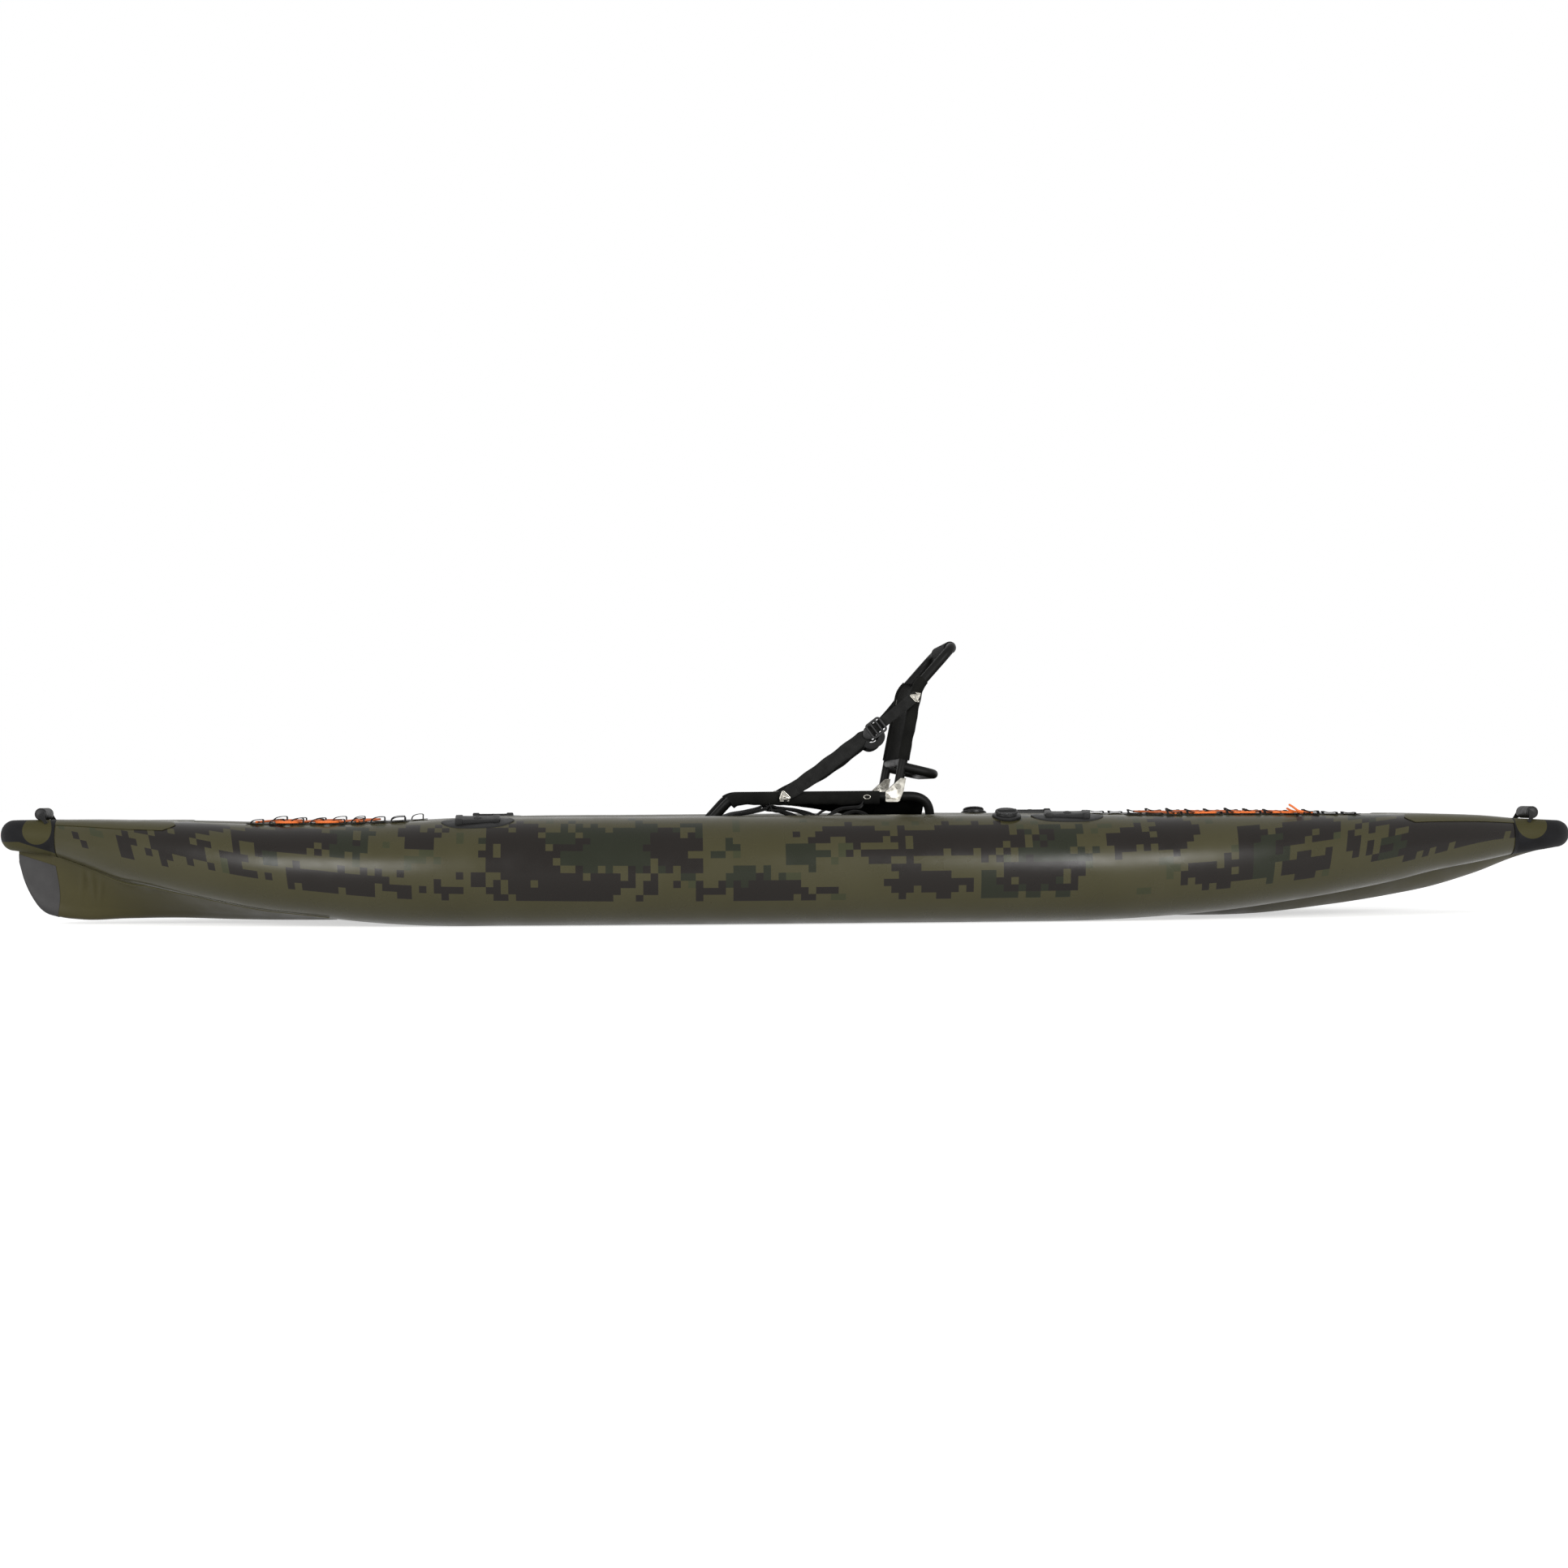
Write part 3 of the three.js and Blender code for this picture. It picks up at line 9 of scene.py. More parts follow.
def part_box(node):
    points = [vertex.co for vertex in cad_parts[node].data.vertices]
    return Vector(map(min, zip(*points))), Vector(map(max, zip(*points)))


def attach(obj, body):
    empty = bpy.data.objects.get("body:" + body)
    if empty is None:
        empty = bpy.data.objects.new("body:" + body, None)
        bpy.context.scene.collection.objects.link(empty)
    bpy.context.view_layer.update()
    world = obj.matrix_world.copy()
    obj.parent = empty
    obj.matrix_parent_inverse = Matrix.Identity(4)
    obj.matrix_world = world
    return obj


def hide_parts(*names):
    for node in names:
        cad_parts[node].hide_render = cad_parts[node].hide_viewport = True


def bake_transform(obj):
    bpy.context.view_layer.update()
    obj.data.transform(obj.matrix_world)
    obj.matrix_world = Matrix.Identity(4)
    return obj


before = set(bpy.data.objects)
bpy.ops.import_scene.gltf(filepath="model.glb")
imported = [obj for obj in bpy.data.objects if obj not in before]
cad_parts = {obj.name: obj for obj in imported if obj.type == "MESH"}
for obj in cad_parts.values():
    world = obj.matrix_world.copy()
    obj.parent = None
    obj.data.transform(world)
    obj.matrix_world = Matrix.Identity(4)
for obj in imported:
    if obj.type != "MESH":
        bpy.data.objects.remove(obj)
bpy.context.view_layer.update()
print("frame loaded")

port, starboard = -1, 1
sides = {"port": port, "starboard": starboard}


# Camera: level, square to the port side, rolled a little and shifted, as the photograph frames the hull
cameraSet = {
    "place": (-0.332, -8.0, 0.311),
    "lens": 74.53,
    "sensor": 36,
    "rollDegrees": -0.5,
    "shift": (0.0859, 0.0054),
}


def addCamera(values):
    data = bpy.data.cameras.new("camera")
    data.lens, data.sensor_width = values["lens"], values["sensor"]
    data.shift_x, data.shift_y = values["shift"]
    camera = bpy.data.objects.new("camera", data)
    bpy.context.scene.collection.objects.link(camera)
    roll = Matrix.Rotation(math.radians(values["rollDegrees"]), 4, "Z")
    camera.matrix_world = Matrix.Translation(values["place"]) @ Matrix.Rotation(math.pi / 2, 4, "X") @ roll
    bpy.context.scene.camera = camera


addCamera(cameraSet)


# Materials
def linear(hexColour):
    # sRGB to linear: small values over 12.92, the rest ((v + 0.055) / 1.055) to the power 2.4
    v = np.array([int(hexColour[i : i + 2], 16) for i in (1, 3, 5)]) / 255
    v = np.where(v <= 0.04045, v / 12.92, ((v + 0.055) / 1.055) ** 2.4)
    return (*(float(c) for c in v), 1.0)


def addNode(material, kind, feeds=None, **settings):
    tree = material.node_tree
    node = tree.nodes.new("ShaderNode" + kind)
    for key, value in settings.items():
        setattr(node, key, value)
    for key, value in (feeds or {}).items():
        if isinstance(value, bpy.types.NodeSocket):
            tree.links.new(value, node.inputs[key])
        else:
            node.inputs[key].default_value = value
    return node


def startMaterial(name, colour, roughness, level=0.5, sockets=None):
    material = bpy.data.materials.new(name)
    material.use_nodes = True
    material.node_tree.nodes.clear()
    feeds = {"Base Color": linear(colour), "Roughness": roughness, "Specular IOR Level": level}
    shader = addNode(material, "BsdfPrincipled", feeds | (sockets or {}))
    addNode(material, "OutputMaterial", {"Surface": shader.outputs[0]})
    return material, shader


def feed(material, shader, colour=None, roughness=None, normal=None):
    # Links what was worked out to the shader's sockets
    for socket, output in (("Base Color", colour), ("Roughness", roughness), ("Normal", normal)):
        if output is not None:
            material.node_tree.links.new(output, shader.inputs[socket])
    return material


# soft noise lies mostly between these two values
noiseMiddle = (0.3, 0.7)


def vary(material, place, sizeMm, low, high, detail=3):
    # Soft noise with spots of about the given size, its middle values stretched between two levels
    noise = addNode(material, "TexNoise", {"Vector": place, "Scale": 1000 / sizeMm, "Detail": detail})
    feeds = dict(enumerate((noise.outputs[0], *noiseMiddle, low, high)))
    return addNode(material, "MapRange", feeds).outputs[0]


def tones(material, place, sizeMm, colourA, colourB, detail=3):
    # Two colours mixed by soft noise
    feeds = {0: vary(material, place, sizeMm, 0, 1, detail), 6: linear(colourA), 7: linear(colourB)}
    return addNode(material, "Mix", feeds, data_type="RGBA").outputs[2]


def clothBump(material, place, threadMm, strength, depthMm, under=None):
    # Two crossed sets of threads, each a wave whose period is a tenth of pi over its scale
    feeds = {"Vector": place, "Scale": math.pi / 10 / (threadMm / 1000)}
    waves = [addNode(material, "TexWave", feeds, bands_direction=axis).outputs["Fac"] for axis in ("X", "Y")]
    height = addNode(material, "Math", dict(enumerate(waves)), operation="MULTIPLY").outputs[0]
    feeds = {"Height": height, "Strength": strength, "Distance": depthMm / 1000}
    if under is not None:
        feeds["Normal"] = under
    return addNode(material, "Bump", feeds).outputs[0]


def noiseBump(material, place, sizeMm, strength, depthMm, detail=3):
    # Soft noise as a relief, with swellings of about the given size
    noise = addNode(material, "TexNoise", {"Vector": place, "Scale": 1000 / sizeMm, "Detail": detail})
    feeds = {"Height": noise.outputs[0], "Strength": strength, "Distance": depthMm / 1000}
    return addNode(material, "Bump", feeds).outputs[0]


coatedFabric = {
    "olive": "#383520",
    "lightOlive": "#3d3a26",
    "darkBrown": "#181411",
    "darkGreen": "#1e2116",
    "greyGreen": "#313320",
    "roughness": 0.29,
    "gloss": 0.2,
    "plainGloss": 0.12,
    "cellMm": 17.4,
    # the threads are drawn coarser than real ones, which are too fine to show
    "warpMm": 1.4,
    # strength and depth of the weave; size, strength, depth and detail of the dents
    "weave": (0.1, 0.25),
    "dents": (111, 0.25, 4, 2),
    "toneMm": 167,
    "plainToneMm": 143,
    "roughMm": 71.4,
    "roughSpread": (-0.05, 0.07),
    # each print: colour, its clusters, shift and size of its noise in mm, and how far it reaches
    "prints": [("greyGreen", None, 5.3, 62.5, 0.5), ("darkGreen", "green", 3.1, 38.46, 1.08),
               ("darkBrown", "brown", 8.7, 35.714, 1.1)],
    # factor and shift of each cell's own random number
    "flick": (0.8, -0.4),
    # clusters of printed cells in metres: place along the hull, height up the panel, half length, half height
    "brown": [(-1.729, 0.012, 0.009, 0.011), (-1.705, 0, 0.008, 0.012), (-1.584, 0.04, 0.02, 0.032),
              (-1.455, 0.055, 0.075, 0.045), (-1.414, 0.118, 0.095, 0.028), (-1.31, 0.04, 0.021, 0.04),
              (-1.175, 0.123, 0.105, 0.037), (-1.06, 0.02, 0.135, 0.026), (-0.878, 0.152, 0.055, 0.033),
              (-0.91, 0.012, 0.02, 0.015), (-0.817, 0.012, 0.028, 0.015), (-0.641, 0.095, 0.074, 0.11),
              (-0.54, 0.028, 0.2, 0.04), (-0.5, 0.13, 0.028, 0.014), (-0.275, 0.12, 0.06, 0.045),
              (0.12, 0.16, 0.095, 0.026), (0.38, 0.138, 0.16, 0.042), (0.287, 0.028, 0.095, 0.03),
              (0.49, 0.05, 0.03, 0.02), (0.79, 0.13, 0.07, 0.025), (0.58, 0.05, 0.08, 0.035),
              (-0.08, 0.02, 0.12, 0.022), (0.2, 0.1, 0.05, 0.02), (0.884, 0.155, 0.058, 0.05),
              (0.984, 0.028, 0.074, 0.034), (1.06, 0.12, 0.035, 0.03), (1.2, 0.13, 0.066, 0.038),
              (1.2, 0.026, 0.066, 0.022), (1.32, 0.06, 0.018, 0.018), (1.52, 0.08, 0.13, 0.08),
              (1.67, 0.05, 0.12, 0.08)],
    "green": [(-1.225, 0.1, 0.03, 0.04), (-1.045, 0.13, 0.04, 0.05), (-0.723, 0.146, 0.018, 0.018),
              (-0.41, 0.12, 0.18, 0.07), (-0.1, 0.05, 0.07, 0.03), (0.02, 0.1, 0.04, 0.03),
              (0.594, 0.09, 0.066, 0.11), (0.47, 0.02, 0.05, 0.03), (1.1, 0.06, 0.04, 0.05),
              (1.33, 0.14, 0.05, 0.03), (1.42, 0.03, 0.04, 0.03)],
}


def clusterReach(material, place, spots):
    # Distance to the nearest of some ellipses, counted in their own half sizes, so that 1 is an edge
    nearest = None
    for x, height, halfLength, halfHeight in spots:
        shift, scale = (-x / halfLength, -height / halfHeight, 0), (1 / halfLength, 1 / halfHeight, 0)
        local = addNode(material, "Mapping", {"Vector": place, "Location": shift, "Scale": scale}).outputs[0]
        reach = addNode(material, "VectorMath", {0: local}, operation="LENGTH").outputs["Value"]
        if nearest is not None:
            reach = addNode(material, "Math", {0: nearest, 1: reach}, operation="MINIMUM").outputs[0]
        nearest = reach
    return nearest


def coatedFinish(material, shader, values, colour, roughness):
    # PVC-coated fabric: satin, with the weave just showing through and slow dents of inflation
    place = addNode(material, "TexCoord").outputs["Object"]
    dents = noiseBump(material, place, *values["dents"])
    skin = addNode(material, "UVMap", uv_map="skin").outputs[0]
    weave = clothBump(material, skin, values["warpMm"], *values["weave"], dents)
    low, high = (roughness + spread for spread in values["roughSpread"])
    return feed(material, shader, colour, vary(material, place, values["roughMm"], low, high), weave)


def camouflagedFabric(values):
    # PVC-coated fabric printed with square-cell camouflage above a plain olive lower band
    roughness = values["roughness"]
    material, shader = startMaterial("pvcFabricCamouflaged", values["olive"], roughness, values["gloss"])
    cell = (values["cellMm"] / 1000, values["cellMm"] / 1000, 1)
    skin = addNode(material, "UVMap", uv_map="skin").outputs[0]
    step = addNode(material, "VectorMath", {0: skin, 1: cell}, operation="SNAP").outputs[0]
    speck = addNode(material, "TexWhiteNoise", {0: step}, noise_dimensions="3D").outputs[0]
    flick = dict(enumerate((speck, *values["flick"])))
    flick = addNode(material, "Math", flick, operation="MULTIPLY_ADD").outputs[0]
    place = addNode(material, "TexCoord").outputs["Object"]
    olive = tones(material, place, values["toneMm"], values["olive"], values["lightOlive"])
    colour = olive
    # ragged clusters: the reach is broken up by coarse noise and by one random number for each cell
    for name, clusters, shift, sizeMm, edge in values["prints"]:
        moved = addNode(material, "VectorMath", {0: step, 1: (shift, shift, shift)}).outputs[0]
        ragged = {0: vary(material, moved, sizeMm, -0.5, 0.5, 1), 1: flick}
        ragged = addNode(material, "Math", ragged, operation="ADD").outputs[0]
        reach = clusterReach(material, step, values[clusters]) if clusters else 1.0
        reach = addNode(material, "Math", {0: reach, 1: ragged}, operation="ADD").outputs[0]
        isOn = addNode(material, "Math", {0: reach, 1: edge}, operation="LESS_THAN").outputs[0]
        feeds = {0: isOn, 6: colour, 7: linear(values[name])}
        colour = addNode(material, "Mix", feeds, data_type="RGBA").outputs[2]
    # the printed panel ends along a seam below and near the top
    turn = addNode(material, "Attribute", attribute_name="panelTurn").outputs["Fac"]
    isPanel = addNode(material, "Math", {0: turn, 1: 0.0}, operation="GREATER_THAN").outputs[0]
    colour = addNode(material, "Mix", {0: isPanel, 6: olive, 7: colour}, data_type="RGBA").outputs[2]
    return coatedFinish(material, shader, values, colour, roughness)


def plainFabric(name, colour, otherColour, roughness, values):
    # PVC-coated fabric in one colour, a little uneven where it was wiped and handled
    material, shader = startMaterial(name, colour, roughness, values["plainGloss"])
    place = addNode(material, "TexCoord").outputs["Object"]
    tone = tones(material, place, values["plainToneMm"], colour, otherColour)
    return coatedFinish(material, shader, values, tone, roughness)


nose = {
    "charcoal": "#131314",
    "otherCharcoal": "#18181a",
    "olive": "#3b3822",
    "roughness": 0.6,
    "gloss": 0.1,
    "toneMm": 33.3,
    "grain": (2, 0.15, 0.4),
    # place, height and radius of each handle patch
    "patches": [(-1.827, 0.233, 0.0365), (1.8195, 0.219, 0.0395)],
    "lip": {"top": 0.2035, "slope": -0.32, "level": -0.3957},
}


def noseRubber(values):
    # Rubber-coated nose wrap: charcoal, with round olive handle patches and an olive lip under the bow
    charcoal, olive, lip = values["charcoal"], linear(values["olive"]), values["lip"]
    material, shader = startMaterial("rubberCoatedNose", charcoal, values["roughness"], values["gloss"])
    place = addNode(material, "TexCoord").outputs["Object"]
    along, _, up = addNode(material, "SeparateXYZ", {0: place}).outputs
    flat = addNode(material, "CombineXYZ", {0: along, 2: up}).outputs[0]
    colour = tones(material, place, values["toneMm"], charcoal, values["otherCharcoal"])
    for x, z, radius in values["patches"]:
        far = addNode(material, "VectorMath", {0: flat, 1: (x, 0, z)}, operation="DISTANCE").outputs["Value"]
        isPatch = addNode(material, "Math", {0: far, 1: radius}, operation="LESS_THAN").outputs[0]
        colour = addNode(material, "Mix", {0: isPatch, 6: colour, 7: olive}, data_type="RGBA").outputs[2]
    # the lip lies under a line that is level at the front and then falls along the hull
    line = {0: along, 1: lip["slope"], 2: lip["level"]}
    line = addNode(material, "Math", line, operation="MULTIPLY_ADD").outputs[0]
    line = addNode(material, "Math", {0: line, 1: lip["top"]}, operation="MINIMUM").outputs[0]
    isUnder = addNode(material, "Math", {0: up, 1: line}, operation="LESS_THAN").outputs[0]
    isBow = addNode(material, "Math", {0: along, 1: 0}, operation="LESS_THAN").outputs[0]
    isLip = addNode(material, "Math", {0: isUnder, 1: isBow}, operation="MULTIPLY").outputs[0]
    colour = addNode(material, "Mix", {0: isLip, 6: colour, 7: olive}, data_type="RGBA").outputs[2]
    return feed(material, shader, colour, None, noiseBump(material, place, *values["grain"]))


webbing = {"gloss": 0.15, "sheen": 0.08, "toneMm": 16.7, "weave": (0.5, 0.5)}


def webbingCloth(name, colour, lighter, ribMm, roughness):
    # Woven nylon webbing: dull, with a faint sheen; its ribs are drawn coarser than real ones, to show
    sockets = {"Sheen Weight": webbing["sheen"]}
    material, shader = startMaterial(name, colour, roughness, webbing["gloss"], sockets)
    skin = addNode(material, "UVMap", uv_map="skin").outputs[0]
    tone = tones(material, skin, webbing["toneMm"], colour, lighter)
    return feed(material, shader, tone, None, clothBump(material, skin, ribMm, *webbing["weave"]))


bungeeCord = {
    "colour": "#e4702c",
    "fleck": "#a84a18",
    "roughness": 0.7,
    "strandMm": 1.4,
    "weave": (0.6, 0.4),
    "slant": math.radians(35),
    "fleckMm": 3,
    "fleckReach": 0.16,
}


def braidedCord(values):
    # Braided polyester over rubber: bright orange with dark flecks where the strands cross
    material, shader = startMaterial("polyesterBungee", values["colour"], values["roughness"])
    skin = addNode(material, "UVMap", uv_map="skin").outputs[0]
    slanted = addNode(material, "Mapping", {"Vector": skin, "Rotation": (0, 0, values["slant"])}).outputs[0]
    cells = addNode(material, "TexVoronoi", {"Vector": skin, "Scale": 1000 / values["fleckMm"]})
    isFleck = {0: cells.outputs["Distance"], 1: values["fleckReach"]}
    isFleck = addNode(material, "Math", isFleck, operation="LESS_THAN").outputs[0]
    feeds = {0: isFleck, 6: linear(values["colour"]), 7: linear(values["fleck"])}
    tone = addNode(material, "Mix", feeds, data_type="RGBA").outputs[2]
    weave = clothBump(material, slanted, values["strandMm"], *values["weave"])
    return feed(material, shader, tone, None, weave)


slingCloth = {
    "colour": "#10100f",
    "roughness": 0.9,
    "gloss": 0.1,
    "tones": (40, "#0c0c0b", "#161614"),
    "weave": (1.6, 0.45, 0.4),
    "creases": (45.5, 0.5, 5, 4),
}


def slingFabric(values):
    # Woven polyester of the seat: black, matt, with a coarse plain weave
    material, shader = startMaterial("wovenPolyester", values["colour"], values["roughness"], values["gloss"])
    skin = addNode(material, "UVMap", uv_map="skin").outputs[0]
    place = addNode(material, "TexCoord").outputs["Object"]
    creases = noiseBump(material, place, *values["creases"])
    weave = clothBump(material, skin, *values["weave"], creases)
    return feed(material, shader, tones(material, skin, *values["tones"]), None, weave)


# grain: size in mm, strength, depth in mm and detail of the bump; satin: size and two levels of roughness
# scuffsAndReflections: size, two colours and detail; real scuffs on the rubber, a painted reflection on the
# steel
hardFinishes = {
    # powder-coated aluminium: near black, satin, with a fine orange peel
    "powder": {"name": "powderCoatedAluminium", "colour": "#0c0c0b", "roughness": 0.5, "level": 0.12,
               "grain": (1.11, 0.12, 0.2), "satin": (25, 0.42, 0.55)},
    # glass-filled nylon, moulded: charcoal black with a fine spark texture
    "moulding": {"name": "mouldedNylon", "colour": "#131313", "roughness": 0.5, "level": 0.3,
                 "grain": (1.43, 0.2, 0.3), "satin": (16.7, 0.38, 0.55)},
    # stainless sheet, tumbled: bright, with fine scratches that pull the reflections out, and light and dark
    # blotches painted into its colour as reflections
    "steel": {"name": "stainlessSteel", "colour": "#a39f97", "roughness": 0.22, "metallic": 1.0,
              "grain": (3.33, 0.2, 0.15), "stretch": (1, 1, 8), "satin": (11.1, 0.16, 0.34),
              "scuffsAndReflections": (22.2, "#77746c", "#bdbab1", 2)},
    # closed-cell rubber foam: black and dull, with fine pores
    "foam": {"name": "nitrileFoam", "colour": "#0a0a0a", "roughness": 0.85, "level": 0.12,
             "grain": (2.22, 0.45, 0.6, 4)},
    # rubber wear patch: mid grey, scuffed along the forefoot
    "wear": {"name": "rubberWearPatch", "colour": "#3a3939", "roughness": 0.6, "level": 0.2,
             "grain": (2.5, 0.25, 0.4), "scuffsAndReflections": (55.6, "#373636", "#3f3e3e", 5)},
}


def hardFinish(name, colour, roughness, grain, level=0.5, metallic=0, stretch=None, satin=None, scuffsAndReflections=None):
    material, shader = startMaterial(name, colour, roughness, level, {"Metallic": metallic})
    place = grainPlace = addNode(material, "TexCoord").outputs["Object"]
    if stretch:
        grainPlace = addNode(material, "Mapping", {"Vector": place, "Scale": stretch}).outputs[0]
    # two colours mixed by noise: real scuffs on the rubber, a painted reflection on the steel
    tone = tones(material, place, *scuffsAndReflections) if scuffsAndReflections else None
    rough = vary(material, place, *satin) if satin else None
    return feed(material, shader, tone, rough, noiseBump(material, grainPlace, *grain))


finishes = {
    "camouflage": camouflagedFabric(coatedFabric),
    "olive": plainFabric("pvcFabricOlive", "#3b3822", "#403d27", 0.34, coatedFabric),
    "keel": plainFabric("pvcFabricKeel", "#403c27", "#444029", 0.4, coatedFabric),
    "floor": plainFabric("pvcFabricFloor", "#2b2c24", "#313128", 0.55, coatedFabric),
    "nose": noseRubber(nose),
    "webbing": webbingCloth("nylonWebbing", "#131313", "#1f1f1f", 2.4, 0.75),
    "sleeve": webbingCloth("nylonSleeve", "#121211", "#1e1e1d", 3.2, 0.85),
    "bungee": braidedCord(bungeeCord),
    "sling": slingFabric(slingCloth),
    **{label: hardFinish(**values) for label, values in hardFinishes.items()},
}
print("materials made")


# Surfaces
def readSmooth(knots, values, x):
    # Hermite curve through a table: each slope is the table's own gradient
    knots, values = np.asarray(knots, float), np.asarray(values, float)
    slope = np.gradient(values, knots, axis=0)
    x = np.clip(x, knots[0], knots[-1])
    i = np.clip(np.searchsorted(knots, x, side="right") - 1, 0, len(knots) - 2)
    span = knots[i + 1] - knots[i]
    t = (x - knots[i]) / span
    if values.ndim > 1:
        t, span = t[..., None], span[..., None]
    return (
        (2 * t**3 - 3 * t**2 + 1) * values[i]
        + (t**3 - 2 * t**2 + t) * span * slope[i]
        + (3 * t**2 - 2 * t**3) * values[i + 1]
        + (t**3 - t**2) * span * slope[i + 1]
    )


def distances(line):
    # Distance along a line from its first point to each of its points
    return np.concatenate([[0], np.cumsum(np.linalg.norm(np.diff(line, axis=0), axis=1))])


def grid(*parts):
    # Places along, across and up, stretched to one shape
    return np.stack(np.broadcast_arrays(*parts), -1)


def bell(x, middle, width):
    # 1 at the middle, and e to the minus 1 at one width from it
    return np.exp(-(((x - middle) / width) ** 2))


def ramp(x, start, length):
    # 0 up to the start, then rising to 1 over the length
    return np.clip((x - start) / length, 0, 1)


def evenly(line, count):
    # The same line with its points at equal distances
    line = np.asarray(line, float)
    run = distances(line)
    at = np.linspace(0, run[-1], count)
    return np.stack([np.interp(at, run, line[:, k]) for k in range(line.shape[1])], 1)


def smoothLine(points, count):
    # Smooth curve through points, read by distance along them
    points = np.asarray(points, float)
    run = distances(points)
    return evenly(readSmooth(run, points, np.linspace(0, run[-1], count * 3)), count)


def bentLine(corners, bend, count):
    # Straight runs joined by curves that leave each corner at bend times tan(half the turn)
    corners = np.asarray(corners, float)
    line = [corners[:1]]
    t = np.linspace(0, 1, 12)[:, None]
    for before, corner, after in zip(corners[:-2], corners[1:-1], corners[2:]):
        into = (corner - before) / np.linalg.norm(corner - before)
        out = (after - corner) / np.linalg.norm(after - corner)
        cut = bend * math.tan(math.acos(np.clip(into @ out, -1, 1)) / 2)
        start, end = corner - into * cut, corner + out * cut
        line.append((1 - t) ** 2 * start + 2 * t * (1 - t) * corner + t**2 * end)
    line.append(corners[-1:])
    return evenly(np.concatenate(line), count)


def sweep(line, profile, guide, scale=None):
    # Carries a flat profile along a line: its first axis is guide x tangent, its second is square to both
    line, profile = np.asarray(line, float), np.asarray(profile, float)
    tangent = np.gradient(line, axis=0)
    tangent /= np.linalg.norm(tangent, axis=1, keepdims=True)
    guide = np.broadcast_to(np.asarray(guide, float), line.shape)
    across = np.cross(guide, tangent)
    across /= np.linalg.norm(across, axis=1, keepdims=True)
    up = np.cross(tangent, across)
    shape = profile[None] if profile.ndim == 2 else profile
    if scale is not None:
        shape = shape * np.reshape(scale, (-1, 1, 1))
    return line[:, None] + across[:, None] * shape[..., :1] + up[:, None] * shape[..., 1:]


def circle(radius, count=32):
    turn = np.arange(count) * 2 * math.pi / count
    return radius * np.stack([np.cos(turn), np.sin(turn)], 1)


def roundedBox(width, height, corner, count=6):
    # Rectangle with quarter-circle corners, counter-clockwise
    turn = np.linspace(0, math.pi / 2, count)
    quarter = np.stack([np.cos(turn), np.sin(turn)], 1) * corner
    halfW, halfH = width / 2 - corner, height / 2 - corner
    parts = []
    for k, (sx, sy) in enumerate([(1, 1), (-1, 1), (-1, -1), (1, -1)]):
        c, s = round(math.cos(k * math.pi / 2)), round(math.sin(k * math.pi / 2))
        parts.append(quarter @ np.array([[c, s], [-s, c]]) + (sx * halfW, sy * halfH))
    return np.concatenate(parts)


# size of a domed end's last ring, as a share of the full size
tipShare = 0.02


def domedEnds(rows, depth, length):
    # Scale along a swept piece: a quarter circle over the depth at each end, and 1 between them
    s = np.linspace(0, length, rows)
    near = np.clip(np.minimum(s, length - s) / depth, 0, 1)
    return np.sqrt(np.clip(1 - (1 - near) ** 2, tipShare**2, 1))


def pieceFrom(name, points, finish, capped=True, skin=None, sharp=50):
    # Closed rows of points to a mesh with its faces out; capped ends close in a fan round their own middle.
    # The skin map holds metres along the rows and round the columns.
    points = np.asarray(points, float)
    rows, columns = points.shape[:2]
    ring = np.concatenate([points, points[:, :1]], 1)
    if skin is None:
        girth = np.linalg.norm(np.diff(ring, axis=1), axis=2).cumsum(1)
        skin = grid(distances(ring.mean(1))[:, None], np.concatenate([np.zeros((rows, 1)), girth], 1))
    i, j = (index.ravel() for index in np.indices((rows - 1, columns)))
    k = (j + 1) % columns
    quads = np.stack([i * columns + j, i * columns + k, (i + 1) * columns + k, (i + 1) * columns + j], 1)
    faces, maps = [quads], [np.stack([skin[i, j], skin[i, j + 1], skin[i + 1, j + 1], skin[i + 1, j]], 1)]
    vertices = points.reshape(-1, 3)
    if capped:
        j = np.arange(columns)
        k = (j + 1) % columns
        for row, order in ((0, 1), (rows - 1, -1)):
            hub, hubMap = np.full(columns, len(vertices)), np.broadcast_to(skin[row].mean(0), (columns, 2))
            vertices = np.concatenate([vertices, points[row].mean(0)[None]])
            faces.append(np.stack([hub, row * columns + k, row * columns + j], 1)[:, ::order])
            maps.append(np.stack([hubMap, skin[row, j + 1], skin[row, j]], 1)[:, ::order])
    # the sign of the volume under the quads tells whether they face in
    a, b, c, d = (vertices[quads[:, n]] for n in range(4))
    if np.sum(a * (np.cross(b, c) + np.cross(c, d))) < 0:
        faces, maps = ([part[:, ::-1] for part in parts] for parts in (faces, maps))
    mesh = bpy.data.meshes.new(name)
    corners = np.concatenate([part.ravel() for part in faces]).astype(np.int32)
    sizes = np.concatenate([np.full(len(part), part.shape[1]) for part in faces])
    mesh.vertices.add(len(vertices))
    mesh.vertices.foreach_set("co", vertices.astype(np.float32).ravel())
    mesh.loops.add(len(corners))
    mesh.loops.foreach_set("vertex_index", corners)
    mesh.polygons.add(len(sizes))
    mesh.polygons.foreach_set("loop_start", np.concatenate([[0], np.cumsum(sizes)[:-1]]).astype(np.int32))
    mesh.update(calc_edges=True)
    flat = np.concatenate([part.ravel() for part in maps]).astype(np.float32)
    mesh.uv_layers.new(name="skin").data.foreach_set("uv", flat)
    mesh.validate()
    mesh.materials.append(finishes[finish])
    piece = bpy.data.objects.new(name, mesh)
    bpy.context.scene.collection.objects.link(piece)
    smoothBy(piece, sharp)
    return piece


def smoothBy(piece, sharp):
    # Smooth faces, with edges sharper than the given angle kept crisp
    mesh = piece.data
    mesh.polygons.foreach_set("use_smooth", np.ones(len(mesh.polygons), bool))
    mesh.set_sharp_from_angle(angle=math.radians(sharp))


